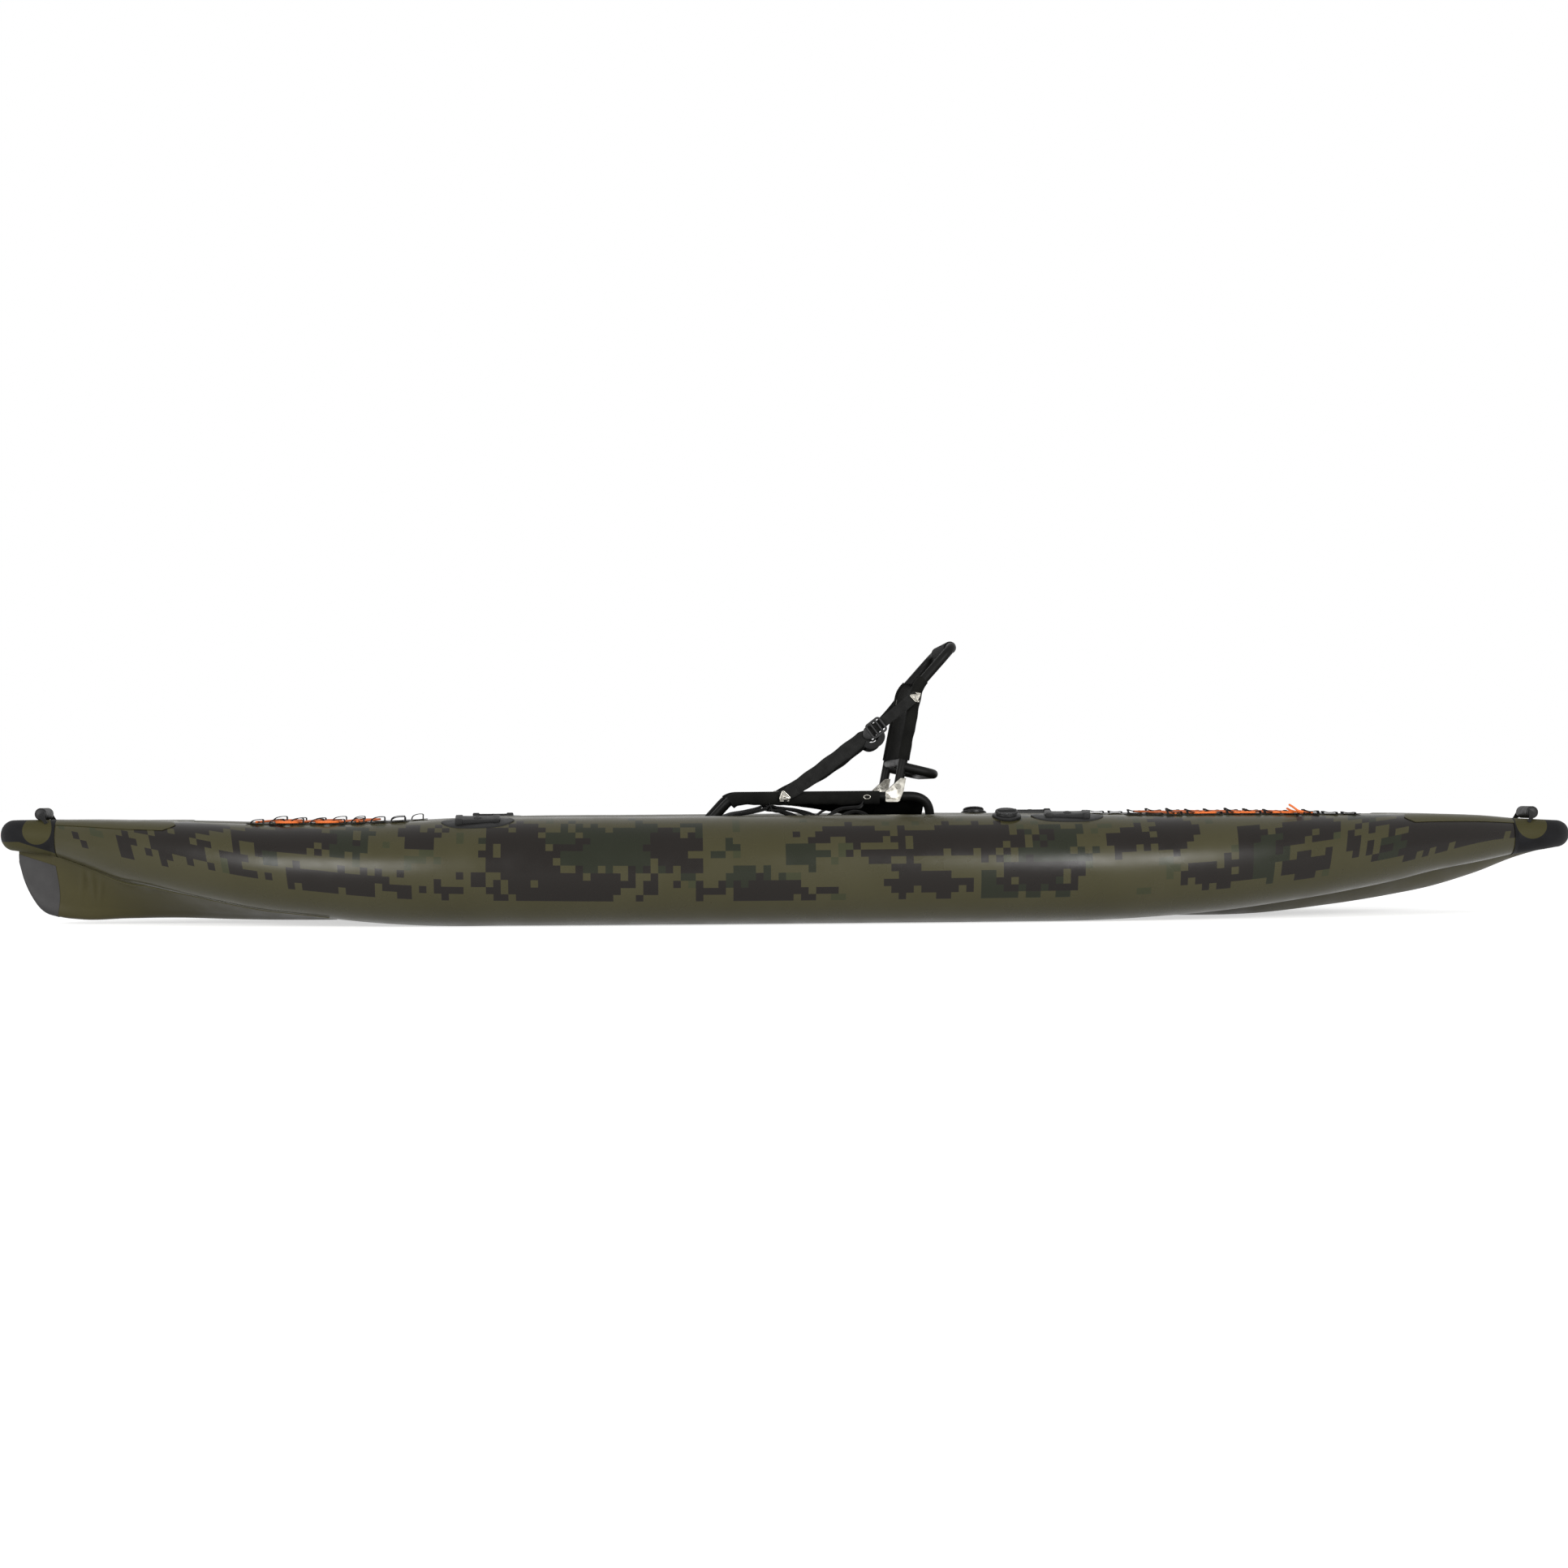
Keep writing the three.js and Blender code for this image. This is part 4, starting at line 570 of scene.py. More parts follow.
def joined(name, parts):
    # Several meshes as one piece
    if len(parts) > 1:
        chosen = {"active_object": parts[0], "selected_objects": parts, "selected_editable_objects": parts}
        with bpy.context.temp_override(**chosen):
            bpy.ops.object.join()
    parts[0].name = name
    return parts[0]


def settle(piece, body, slotName, *nodes):
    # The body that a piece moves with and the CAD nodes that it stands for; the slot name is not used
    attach(piece, body)
    if nodes:
        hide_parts(*nodes)
    return piece


def gridNormals(points):
    # Normal of an open grid: the cross product of its two directions
    normal = np.cross(np.gradient(points, axis=0), np.gradient(points, axis=1))
    return normal / np.maximum(np.linalg.norm(normal, axis=2, keepdims=True), 1e-9)


def sheetFrom(name, points, outer, inner, finish):
    # Closed skin between two offsets of an open grid
    normal = gridNormals(points)
    ring = np.concatenate([points + normal * outer, (points + normal * inner)[:, ::-1]], 1)
    return pieceFrom(name, ring, finish)


def tubeAlong(name, line, radius, finish, guide=(0, 1, 0), count=28, dome=0.004):
    # Round bar along a line, its ends domed
    scale = domedEnds(len(line), dome, distances(line)[-1])
    return pieceFrom(name, sweep(line, circle(radius, count), guide, scale), finish)


def barFrom(name, x, y, z, radius, finish="powder", **options):
    # Round bar whose places along, across and up are numbers or rows of numbers
    return tubeAlong(name, grid(x, y, z), radius, finish, **options)


# Hull
hull = {
    "halfLength": 1.93,
    "tubeRadius": 0.127,
    "tubeDiameter": 0.254,
    "spread": 0.368,
    "endSpread": 0.042,
    "reachShare": 0.9326,
    "planPower": 2.8,
    # place along the hull, radius and underside, as shares
    "tube": [(-0.93, 0.331, 0.673), (-0.873, 0.472, 0.528), (-0.836, 0.56, 0.433), (-0.771, 0.661, 0.327),
             (-0.708, 0.748, 0.224), (-0.653, 0.811, 0.146), (-0.584, 0.866, 0.087), (-0.511, 0.929, 0.031),
             (-0.431, 0.984, 0), (-0.35, 1, 0), (-0.18, 1, 0), (0, 1, 0), (0.14, 1, 0), (0.24, 0.992, 0),
             (0.4, 0.965, 0.012), (0.45, 0.94, 0.032), (0.526, 0.898, 0.075), (0.615, 0.811, 0.157),
             (0.699, 0.709, 0.252), (0.754, 0.63, 0.327), (0.809, 0.535, 0.417), (0.88, 0.425, 0.504),
             (0.925, 0.331, 0.567)],
    "belly": [(-0.7, 0.157), (-0.64, 0.1), (-0.584, 0.055), (-0.5, 0.03), (-0.43, 0.02), (0.43, 0.02),
              (0.595, 0.03), (0.678, 0.094), (0.761, 0.173), (0.828, 0.264), (0.88, 0.378), (0.932, 0.528),
              (0.966, 0.602)],
    "keel": [(-0.976, 0.6), (-0.97, 0.429), (-0.965, 0.335), (-0.9596, 0.256), (-0.9544, 0.193),
             (-0.9492, 0.146), (-0.944, 0.114), (-0.93, 0.075), (-0.897, 0.039), (-0.836, 0.05),
             (-0.771, 0.055), (-0.708, 0.04), (-0.653, 0.03), (-0.6, 0.026), (-0.57, 0.026)],
    # lower edge of the printed panel, in degrees round the tube
    "panelEdge": [(-0.93, -8), (-0.86, -8), (-0.72, -20), (-0.57, -25), (-0.43, -29), (0.45, -31),
                  (0.63, -30), (0.8, -22), (0.9, -4), (0.925, -4)],
    "panelTurn": 110,
    "wrapBack": {"bow": -1.7826, "stern": 1.7755},
    "wrapThickness": 0.0018,
    "floorFrom": -0.69,
    "floorTo": 0.7,
    "floorThickness": 0.11,
    "floorSqueeze": 0.005,
    "floorTip": 0.12,
    "floorTipShare": 0.35,
    "skin": 0.003,
    "gap": 0.0003,
    # towards the ends the print leans with the tube's rise
    "leanFrom": 1.0,
    "leanLength": 0.75,
    "lean": 0.4,
}
half = hull["halfLength"]
tubeTable = np.array(hull["tube"]) * (half, hull["tubeRadius"], hull["tubeDiameter"])
bellyTable = np.array(hull["belly"]) * (half, hull["tubeDiameter"])
keelTable = np.array(hull["keel"]) * (half, hull["tubeDiameter"])
panelTable = np.array(hull["panelEdge"]) * (half, math.pi / 180)


def tubeAt(x):
    # Radius, sideways offset and height of a side tube's centre at a place along the hull
    radius = readSmooth(tubeTable[:, 0], tubeTable[:, 1], x)
    low = readSmooth(tubeTable[:, 0], tubeTable[:, 2], x)
    fall = np.minimum(1, np.abs(x) / (hull["reachShare"] * half)) ** hull["planPower"]
    y = hull["endSpread"] + (hull["spread"] - hull["endSpread"]) * (1 - fall)
    return radius, y, low + radius


def onTube(x, side, angle, offset=0.0):
    # Point over a side tube: angle 0 is outboard, a quarter turn is the top
    radius, y, z = tubeAt(x)
    return grid(x, side * (y + (radius + offset) * np.cos(angle)), z + (radius + offset) * np.sin(angle))


def sideTube(label, side):
    # A ring round each place along the hull; radius and centre follow the tables
    x = np.linspace(tubeTable[0, 0], tubeTable[-1, 0], 320)
    angle = np.radians(np.linspace(-180, 180, 97))
    gridX, gridAngle = np.meshgrid(x, angle, indexing="ij")
    edge = readSmooth(panelTable[:, 0], panelTable[:, 1], gridX)
    around = (gridAngle - edge) * tubeAt(gridX)[0]
    lean = hull["lean"] * ramp(np.abs(gridX), hull["leanFrom"], hull["leanLength"])
    skin = grid(gridX - np.sign(gridX) * lean * around, around)
    points = onTube(gridX[:, :-1], side, gridAngle[:, :-1])
    tube = pieceFrom(f"{label}_tube_skin", points, "camouflage", skin=skin)
    # how far inside the printed panel each point is, in radians round the tube; end hubs lie outside it
    halfPanel = math.radians(hull["panelTurn"]) / 2
    off = np.mod(gridAngle - edge - halfPanel + math.pi, 2 * math.pi) - math.pi
    inside = np.full(len(tube.data.vertices), -1, np.float32)
    inside[: off[:, :-1].size] = (halfPanel - np.abs(off))[:, :-1].ravel()
    tube.data.attributes.new("panelTurn", "FLOAT", "POINT").data.foreach_set("value", inside)
    settle(tube, "boat", "tube_fabric", f"{label}_tube")


for label, side in sides.items():
    sideTube(label, side)

noses = {
    "bow": {"rise": 0.006, "tip": 0.037, "sign": -1, "end": tubeTable[0, 0]},
    "stern": {"rise": 0.005, "tip": 0.0325, "sign": 1, "end": tubeTable[-1, 0]},
}
# share of the nose that tapers before it rounds off, power of its plan, and place of its last ring
noseShape = {"taper": 0.72, "power": 2.6, "last": 0.9995}


def noseAt(label, x):
    # Half height, shoulder and height of the nose: the tubes' envelope, then a rounded end
    values = noses[label]
    endRadius, endY, endZ = tubeAt(np.array(values["end"]))
    along = np.clip((x - values["end"]) / (values["sign"] * half - values["end"]), 0, noseShape["last"])
    taper = np.minimum(1, along / noseShape["taper"])
    rounding = ramp(along, noseShape["taper"], 1 - noseShape["taper"])
    height = (endRadius + (values["tip"] - endRadius) * taper) * np.sqrt(1 - rounding**2)
    shoulder = np.maximum(0, (endY + endRadius) * np.sqrt(1 - along ** noseShape["power"]) - height)
    z = endZ + values["rise"] * taper
    radius, y, tubeZ = tubeAt(x)
    isTube = (x - values["end"]) * values["sign"] < 0
    height = np.where(isTube, radius, height) + hull["wrapThickness"] * (1 - along)
    return height, np.where(isTube, y, shoulder), np.where(isTube, tubeZ, z)


def noseWrap(label):
    # Two half circles joined by flats at each place; they follow the tubes and then shrink to the tip
    values = noses[label]
    back, end = hull["wrapBack"][label], values["end"]
    rounded = end + (values["sign"] * half - end) * np.sin(np.linspace(0, math.pi / 2, 64)[1:])
    x = np.concatenate([[back], np.linspace(back, end, 16), rounded])
    height, shoulder, z = (v[:, None] for v in noseAt(label, x))
    height[0] -= hull["wrapThickness"]
    angle = (np.arange(96) + 0.5) * 2 * math.pi / 96
    across = np.sign(np.cos(angle)) * shoulder + height * np.cos(angle)
    points = grid(x[:, None], across, z + height * np.sin(angle))
    wrap = pieceFrom(f"{label}_nose_skin", points, "nose", sharp=60)
    settle(wrap, "boat", "nose_fabric", f"{label}_nose_wrap")


for label in noses:
    noseWrap(label)
print("tubes and noses made")


def floorBottom(x):
    return readSmooth(bellyTable[:, 0], bellyTable[:, 1], x) + hull["skin"] + hull["gap"]


def floorTop(x):
    return floorBottom(x) + hull["floorThickness"] + hull["gap"]


def floorHalf(x):
    # Half the floor's flat width: its round side touches the tube's round side
    radius, y, z = tubeAt(x)
    rounding = hull["floorThickness"] / 2
    touch = radius + rounding
    drop = np.minimum(np.abs(z - floorBottom(x) - rounding), touch)
    return np.maximum(0, y - np.sqrt(touch**2 - drop**2)) + hull["floorSqueeze"]


def floorPanel():
    # Two half circles joined by flats at each place; in plan its ends are quarter circles
    fromX, toX, tip = hull["floorFrom"] * half, hull["floorTo"] * half, hull["floorTip"]
    turn = np.linspace(0, math.pi / 2, 14)
    level = np.linspace(fromX + tip, toX - tip, 160)[1:-1]
    x = np.concatenate([fromX + tip * (1 - np.cos(turn)), level, toX - tip * (1 - np.sin(turn))])[:, None]
    share = np.clip(np.minimum(x - fromX, toX - x) / tip, 0, 1)
    least = hull["floorTipShare"]
    width = floorHalf(x) * (least + (1 - least) * np.sqrt(1 - (1 - share) ** 2))
    rounding = hull["floorThickness"] / 2
    angle = np.radians(np.concatenate([np.linspace(-90, 90, 20), np.linspace(90, 270, 20)]))
    across = np.repeat([1, -1], 20) * width + rounding * np.cos(angle)
    points = grid(x, across, floorBottom(x) + rounding + rounding * np.sin(angle))
    settle(pieceFrom("floor_skin", points, "floor"), "boat", "floor_fabric", "floor_panel")


floorPanel()


# where the skin meets the tubes, in tube radii; how it narrows to the stern; how it rises to its edge
bottom = {"edgeIn": 0.3, "edgeDown": 0.8, "narrowest": 0.1, "flatShare": 0.8, "power": 1.5}


def hullBottom(values):
    # Flat under the floor, then rising with a power of the way out to its edges on the tubes
    x = np.linspace(keelTable[-1, 0] + hull["gap"], bellyTable[-1, 0], 240)[:, None]
    radius, y, z = tubeAt(x)
    low = readSmooth(bellyTable[:, 0], bellyTable[:, 1], x)
    edgeY, edgeZ = y - values["edgeIn"] * radius, z - values["edgeDown"] * radius
    floorEnd = hull["floorTo"] * half
    narrow = 1 - (1 - values["narrowest"]) * ramp(x, floorEnd, tubeTable[-1, 0] - floorEnd)
    flat = np.minimum(floorHalf(x) * narrow, edgeY * values["flatShare"])
    share = np.linspace(0, 1, 20)
    across = flat + (edgeY - flat) * share
    height = low + (edgeZ - low) * share ** values["power"]
    points = grid(x, across, height)
    points = np.concatenate([points[:, ::-1] * (1, -1, 1), points], 1)
    ring = np.concatenate([points, points[:, ::-1] + (0, 0, hull["skin"])], 1)
    settle(pieceFrom("bottom_skin", ring, "keel"), "boat", "bottom_fabric", "hull_bottom")


hullBottom(bottom)

keel = {
    # half width of its foot at the front and at the back
    "foot": (0.009, 0.07),
    "widen": (0.4, 0.6),
    "leastReach": 1.2,
    "noseLap": 0.006,
    # where its side leaves the tube and how high it goes inside, in tube radii under the centre
    "leave": 0.86,
    "inside": 0.15,
    # the side between foot and tube, as shares of the way out and of the way up
    "out": (0, 0.22, 0.5, 0.78, 1),
    "up": (0, 0.02, 0.25, 0.55, 0.82, 1),
    "tuck": 0.7,
    # place of each fold, lean, height share, half height share, size of the ridge and half width
    "folds": [(-1.722, 0.02, 0.62, 0.2, 0.0036, 0.006), (-1.708, -0.01, 0.7, 0.14, -0.0034, 0.005),
              (-1.694, 0, 0.66, 0.2, 0.0046, 0.006), (-1.674, 0.03, 0.6, 0.2, 0.0034, 0.005),
              (-1.6, -0.08, 0.86, 0.08, -0.004, 0.02), (-1.555, -0.05, 0.86, 0.08, 0.005, 0.014),
              (-1.5, -0.08, 0.88, 0.07, -0.003, 0.02)],
}


def keelHalf(x, low):
    # Half section of the keel from its edge up to the tube: rows of sideways and upward places
    radius, y, tubeZ = tubeAt(x)
    bowEnd, front = tubeTable[0, 0], keelTable[0, 0]
    narrow, wide = keel["foot"]
    foot = narrow + (wide - narrow) * (x - front) / (keelTable[-1, 0] - front)
    least, more = keel["widen"]
    reachY = np.maximum(y * (least + more * ramp(x, front, bowEnd - front)), foot * keel["leastReach"])
    height, _, noseZ = noseAt("bow", x)
    lap = keel["noseLap"]
    reachZ = np.where(x < bowEnd, noseZ - height + lap, tubeZ - keel["leave"] * radius)
    topZ = np.where(x < bowEnd, reachZ + lap, tubeZ - keel["inside"] * radius)
    sideways = [foot * 0, *(foot + (reachY - foot) * share for share in keel["out"]), reachY * keel["tuck"]]
    upward = [*(low + (reachZ - low) * share for share in keel["up"]), topZ]
    return np.stack([np.stack(sideways, 1), np.stack(upward, 1)], 2)


def keelSide(section, count):
    # The half section read smoothly at equal steps from its lower edge to the tube
    run = distances(section[:-1])
    return readSmooth(run, section[:-1], np.linspace(0, run[-1], count))


def keelRows(count):
    # Rows at equal steps along the keel's lower edge
    fine = np.linspace(keelTable[0, 0], keelTable[-1, 0], 2000)
    edge = evenly(grid(fine, readSmooth(keelTable[:, 0], keelTable[:, 1], fine)), count)
    return edge[:, 0], edge[:, 1]


def bowKeel():
    # The half section at each row, mirrored
    x, low = keelRows(220)
    rows = np.array([np.concatenate([keelSide(section, 48), section[-1:]]) for section in keelHalf(x, low)])
    across, height, x = rows[..., 0], rows[..., 1], x[:, None]
    # soft folds where the keel's fabric gathers: each is a ridge that leans back and fades up and down
    share = np.linspace(0, 1, rows.shape[1])
    for place, lean, high, tall, size, wide in keel["folds"]:
        across = across + size * bell(x, place + lean * (share - high), wide) * bell(share, high, tall)
    points = grid(x, across, height)
    points = np.concatenate([points, points[:, :0:-1] * (1, -1, 1)], 1)
    settle(pieceFrom("bow_keel_skin", points, "keel"), "boat", "bottom_fabric", "bow_keel")


wearPatch = {
    "back": -0.929 * half,
    # bulge of the rear edge: size, height and half height
    "bulge": (0.012, 0.075, 0.065),
    # top at the front and at the back, in tube diameters; both faces over the keel's surface
    "top": (0.68, 0.57),
    "offsets": (0.0016, -0.001),
}


def forefootPatch(values):
    # Sheet on the keel: its upper edge falls to the rear and its rear edge bulges back low down
    x, low = keelRows(220)
    bulge, bulgeAt, bulgeTall = values["bulge"]
    near = x < values["back"] + 1.5 * bulge
    x, low = x[near], low[near]
    front, back = values["top"]
    tops = hull["tubeDiameter"] * (front + (back - front) * (x - x[0]) / (values["back"] - x[0]))
    rows = []
    for section, top in zip(keelHalf(x, low), tops):
        side = keelSide(section, 120)
        run = distances(side)
        place = np.linspace(0, np.interp(top, side[:, 1], run), 20)
        rows.append(grid(np.interp(place, run, side[:, 0]), np.interp(place, run, side[:, 1])))
    rows = np.array(rows)
    strands = []
    ends = values["back"] + bulge * bell(rows[-1, :, 1], bulgeAt, bulgeTall)
    for strand, end in zip(np.swapaxes(rows, 0, 1), ends):
        place = x[0] + (end - x[0]) * np.linspace(0, 1, 90)
        strands.append(grid(place, np.interp(place, x, strand[:, 0]), np.interp(place, x, strand[:, 1])))
    strands = np.swapaxes(np.array(strands), 0, 1)
    points = np.concatenate([strands[:, :0:-1] * (1, -1, 1), strands], 1)
    sheet = sheetFrom("wear_patch_skin", points, *values["offsets"], "wear")
    settle(sheet, "boat", "wear_patch", "keel_wear_patch")


welt = {
    "reach": (-1.775, -1.09),
    "radius": 0.0013,
    "angle": -73,
    "proud": 0.0018,
    # swellings where the fabric puckers: middle, width and size
    "prouder": [(-1.6, 0.08, 0.0055), (-1.48, 0.03, 0.0012)],
    "turned": (-1.55, 0.04, 5),
    "lifted": (-1.553, 0.008, 0.0012),
    "thicker": (-1.56, 0.08, 0.9),
    "tipShare": 0.1,
}


def keelWelt(sideName, side):
    # Welted seam between the keel and the tube: it stands proud where the fabric puckers
    x = np.linspace(*welt["reach"], 260)

    def swelling(middle, width, size):
        return size * bell(x, middle, width)

    proud = welt["proud"] + sum(swelling(*values) for values in welt["prouder"])
    line = onTube(x, side, np.radians(welt["angle"] + swelling(*welt["turned"])), proud)
    line[:, 2] += swelling(*welt["lifted"])
    thick = 1 + swelling(*welt["thicker"])
    thick[[0, -1]] = welt["tipShare"]
    points = sweep(line, circle(welt["radius"], 12), (0, 0, 1), thick)
    settle(pieceFrom(f"keel_welt_{sideName}", points, "olive"), "boat", "bottom_fabric")


bowKeel()
forefootPatch(wearPatch)
for sideName, side in sides.items():
    keelWelt(sideName, side)

decks = {
    "bow": {"tip": -0.9232, "inner": -0.757, "cut": 0.038, "hollow": 0.03},
    "stern": {"tip": 0.9205, "inner": 0.763, "cut": 0.03, "hollow": 0.024},
    # angles round the tube between which the skin lies on it
    "on": (math.radians(48), math.radians(97.5)),
    # shares of the way across: where it leaves the tube, where the hollow ends and where the cut starts
    "offTube": 0.35,
    "hollowTo": 0.9,
    "cutFrom": 0.8,
    "offsets": (0.0017, 0.0003),
}


def deckPanel(label):
    # Skin stretched over both tubes; its inner edge is hollow in the middle and cut back at the corners
    values, off = decks[label], decks["offTube"]
    tip, inner = values["tip"] * half, values["inner"] * half
    across = np.concatenate([np.linspace(1, off, 16), np.linspace(off, 0, 9)[1:]])
    hollow = values["hollow"] * (1 - np.minimum(1, across / decks["hollowTo"]) ** 2)
    cut = values["cut"] * ramp(across, decks["cutFrom"], 1 - decks["cutFrom"])
    edge = inner + math.copysign(1, tip) * (hollow + cut)
    x = tip + (edge - tip) * np.linspace(0, 1, 60)[:, None]
    over = onTube(x[:, :16], 1, np.linspace(*decks["on"], 16))
    middle = over[:, -1:, :] * grid(1.0, across[16:] / off, 1.0)
    middle[..., 0] = x[:, 16:]
    points = np.concatenate([over, middle], 1)
    points = np.concatenate([points, points[:, -2::-1] * (1, -1, 1)], 1)
    outward = np.sign(gridNormals(points)[..., 2].mean())
    offsets = [outward * offset for offset in decks["offsets"]]
    piece = sheetFrom(f"{label}_deck_skin", points, *offsets, "olive")
    settle(piece, "boat", "tube_fabric", f"{label}_deck")


for label in noses:
    deckPanel(label)
print("hull made")


# Fittings on the hull
def localPlace(points, x, side, angle, lift):
    # Local places, along the hull, across and straight out, to a spot on a side tube
    origin = onTube(np.array(x), side, angle, lift)
    outward = np.array([0, side * math.cos(angle), math.sin(angle)])
    axes = np.stack([np.array([1.0, 0, 0]), np.cross(outward, (1, 0, 0)), outward])
    return origin + np.asarray(points, float) @ axes


def lathe(profile, count=48):
    # Turned piece: the radius and height of each point of the profile make one ring
    profile = np.asarray(profile, float)[:, None]
    rows = profile[..., :1] * circle(1, count)
    return grid(rows[..., 0], rows[..., 1], profile[..., 1])


gearMounts = {
    "bow": {"x": -0.381 * half, "angle": math.radians(72)},
    "stern": {"x": 0.336 * half, "angle": math.radians(77)},
    "patchHalfLength": 0.086,
    "patchHalfWidth": 0.036,
    "patchThickness": 0.0022,
    # height over the tube of the patch's underside and of its rim
    "patchOver": (0.0002, 0.0004),
    "root": 0.008,
    "corner": 0.0022,
    # outline of the patch: powers of its length and width, and its least width; power of its thin rim
    "outline": (3.4, 0.62, 0.012),
    "rimPower": 6,
    # half of the block's length profile: place, height and width
    "block": [(-0.0525, 0.007, 0.028), (-0.0518, 0.0086, 0.0318), (-0.05, 0.0095, 0.034),
              (-0.0368, 0.0095, 0.034), (-0.0358, 0.0088, 0.0335), (-0.0352, 0.0078, 0.0315),
              (-0.034, 0.0074, 0.031), (-0.018, 0.0072, 0.031)],
    "boss": [(0.0102, 0.0), (0.0102, 0.0068), (0.0094, 0.0076), (0.009, 0.0086), (0.0082, 0.0092),
             (0.0042, 0.0092), (0.0036, 0.0084), (0.0006, 0.0084)],
    "pinRadius": 0.0016,
    "pinX": 0.0445,
    "pinHalf": 0.0174,
    "pinHeight": 0.0052,
}


def gearMount(label, sideName, side):
    # Oval patch whose width falls with a power of the way out, a block of rounded boxes and a turned boss
    values, name = gearMounts[label], f"{label}_gear_mount_{sideName}_block"
    x, angle = values["x"], values["angle"]
    station, share = np.linspace(-1, 1, 61), np.linspace(-1, 1, 25)
    power, narrowing, least = gearMounts["outline"]
    width = gearMounts["patchHalfWidth"] * np.clip(1 - np.abs(station) ** power, least, 1) ** narrowing
    spot = x + station * gearMounts["patchHalfLength"]
    turn = angle + share * (width / tubeAt(spot)[0])[:, None]
    edge = np.sqrt(np.clip(1 - share ** gearMounts["rimPower"], 0, 1))
    under, over = gearMounts["patchOver"]
    top = onTube(spot[:, None], side, turn, over + gearMounts["patchThickness"] * edge)
    under = onTube(spot[:, None], side, turn, under)
    patch = pieceFrom(f"{name}_patch", np.concatenate([top, under[:, ::-1]], 1), "moulding")
    front, root, lift = np.array(gearMounts["block"]), gearMounts["root"], gearMounts["patchThickness"]
    rows = []
    for along, height, wide in np.concatenate([front, front[::-1] * (-1, 1, 1)]):
        ring = roundedBox(wide, height + root, gearMounts["corner"])
        rows.append(grid(along, ring[:, 0], ring[:, 1] + (height - root) / 2))
    block = pieceFrom(f"{name}_block", localPlace(rows, x, side, angle, lift), "moulding", sharp=35)
    boss = pieceFrom(f"{name}_boss", localPlace(lathe(gearMounts["boss"]), x, side, angle, lift), "moulding")
    settle(joined(name, [patch, block, boss]), "boat", "moulding", f"{label}_gear_mount_{sideName}")
    # stainless pins across both lugs
    pins = []
    for end in (-1, 1):
        across = np.linspace(-1, 1, 12) * gearMounts["pinHalf"]
        line = grid(end * gearMounts["pinX"], across, gearMounts["pinHeight"])
        line = localPlace(line, x, side, angle, lift)
        pins.append(tubeAlong(f"pin_{end}", line, gearMounts["pinRadius"], "steel", (1, 0, 0), 16, 0.001))
    settle(joined(f"{name}_pins", pins), "boat", "stainless")


for label in noses:
    for sideName, side in sides.items():
        gearMount(label, sideName, side)


valves = {
    # how far a tube valve stands in from its spot, on to the axis that its cap turns about
    "inset": 0.00115,
    "x": 0.2617 * half,
    "floorX": 0.321 * half,
    "angle": math.radians(75),
    "body": [(0.015, -0.022), (0.0215, -0.022), (0.0215, -0.004), (0.0325, -0.0036), (0.034, 0.0004),
             (0.0338, 0.0032), (0.0318, 0.0048), (0.0262, 0.0052), (0.0246, 0.0062), (0.024, 0.0088),
             (0.0226, 0.0092), (0.0152, 0.009), (0.015, 0.008)],
    "cap": [(0.0142, 0.0064), (0.0144, 0.0096), (0.0262, 0.0097), (0.027, 0.0102), (0.027, 0.0126),
            (0.026, 0.0142), (0.0226, 0.0147), (0.0216, 0.0139), (0.012, 0.0136), (0.0006, 0.0135)],
    "gripCount": 24,
    "gripDepth": 0.0007,
    "gripFrom": 0.0255,
    "capRadius": 0.027,
    "rib": {"length": 0.044, "width": 0.008, "height": 0.0036, "middle": 0.0138, "corner": 0.0016,
            "dome": 0.004},
}


def valve(label, place):
    # Turned body and turned cap, with a rounded bar across the cap
    body = lathe(valves["body"], 64)
    closed = np.concatenate([body, body[:1]])
    base = pieceFrom(f"{label}_valve_body_skin", place(closed), "moulding", capped=False, sharp=40)
    settle(base, "boat", "moulding", f"{label}_valve_body")
    cap = lathe(valves["cap"], 192)
    # finger grips: the rim's radius follows a wave round the cap
    rim = (np.hypot(cap[..., 0], cap[..., 1]) > valves["gripFrom"])[..., None]
    turn = np.arctan2(cap[..., 1], cap[..., 0])[..., None]
    wave = 1 - valves["gripDepth"] / valves["capRadius"] * (0.5 + 0.5 * np.cos(turn * valves["gripCount"]))
    cap[..., :2] = np.where(rim, cap[..., :2] * wave, cap[..., :2])
    disc = pieceFrom(f"{label}_cap_disc", place(cap), "moulding", sharp=40)
    rib = valves["rib"]
    line = grid(np.linspace(-0.5, 0.5, 40) * rib["length"], 0, rib["middle"])
    profile = roundedBox(rib["height"] * 2, rib["width"], rib["corner"])
    bar = sweep(line, profile, (0, 1, 0), domedEnds(40, rib["dome"], rib["length"]))
    bar = pieceFrom(f"{label}_cap_rib", place(bar), "moulding")
    settle(joined(f"{label}_valve_cap_skin", [disc, bar]), f"{label}_cap", "moulding", f"{label}_valve_cap")


def onTubeValve(points, side):
    inset = (0, side * valves["inset"], 0)
    return localPlace(np.asarray(points) - inset, valves["x"], side, valves["angle"], hull["gap"])


valve("port", lambda points: onTubeValve(points, port))
valve("starboard", lambda points: onTubeValve(points, starboard))
floorTopAtValve = float(floorTop(np.array(valves["floorX"])))
valve("floor", lambda points: points + (valves["floorX"], 0, floorTopAtValve))
print("mounts and valves made")


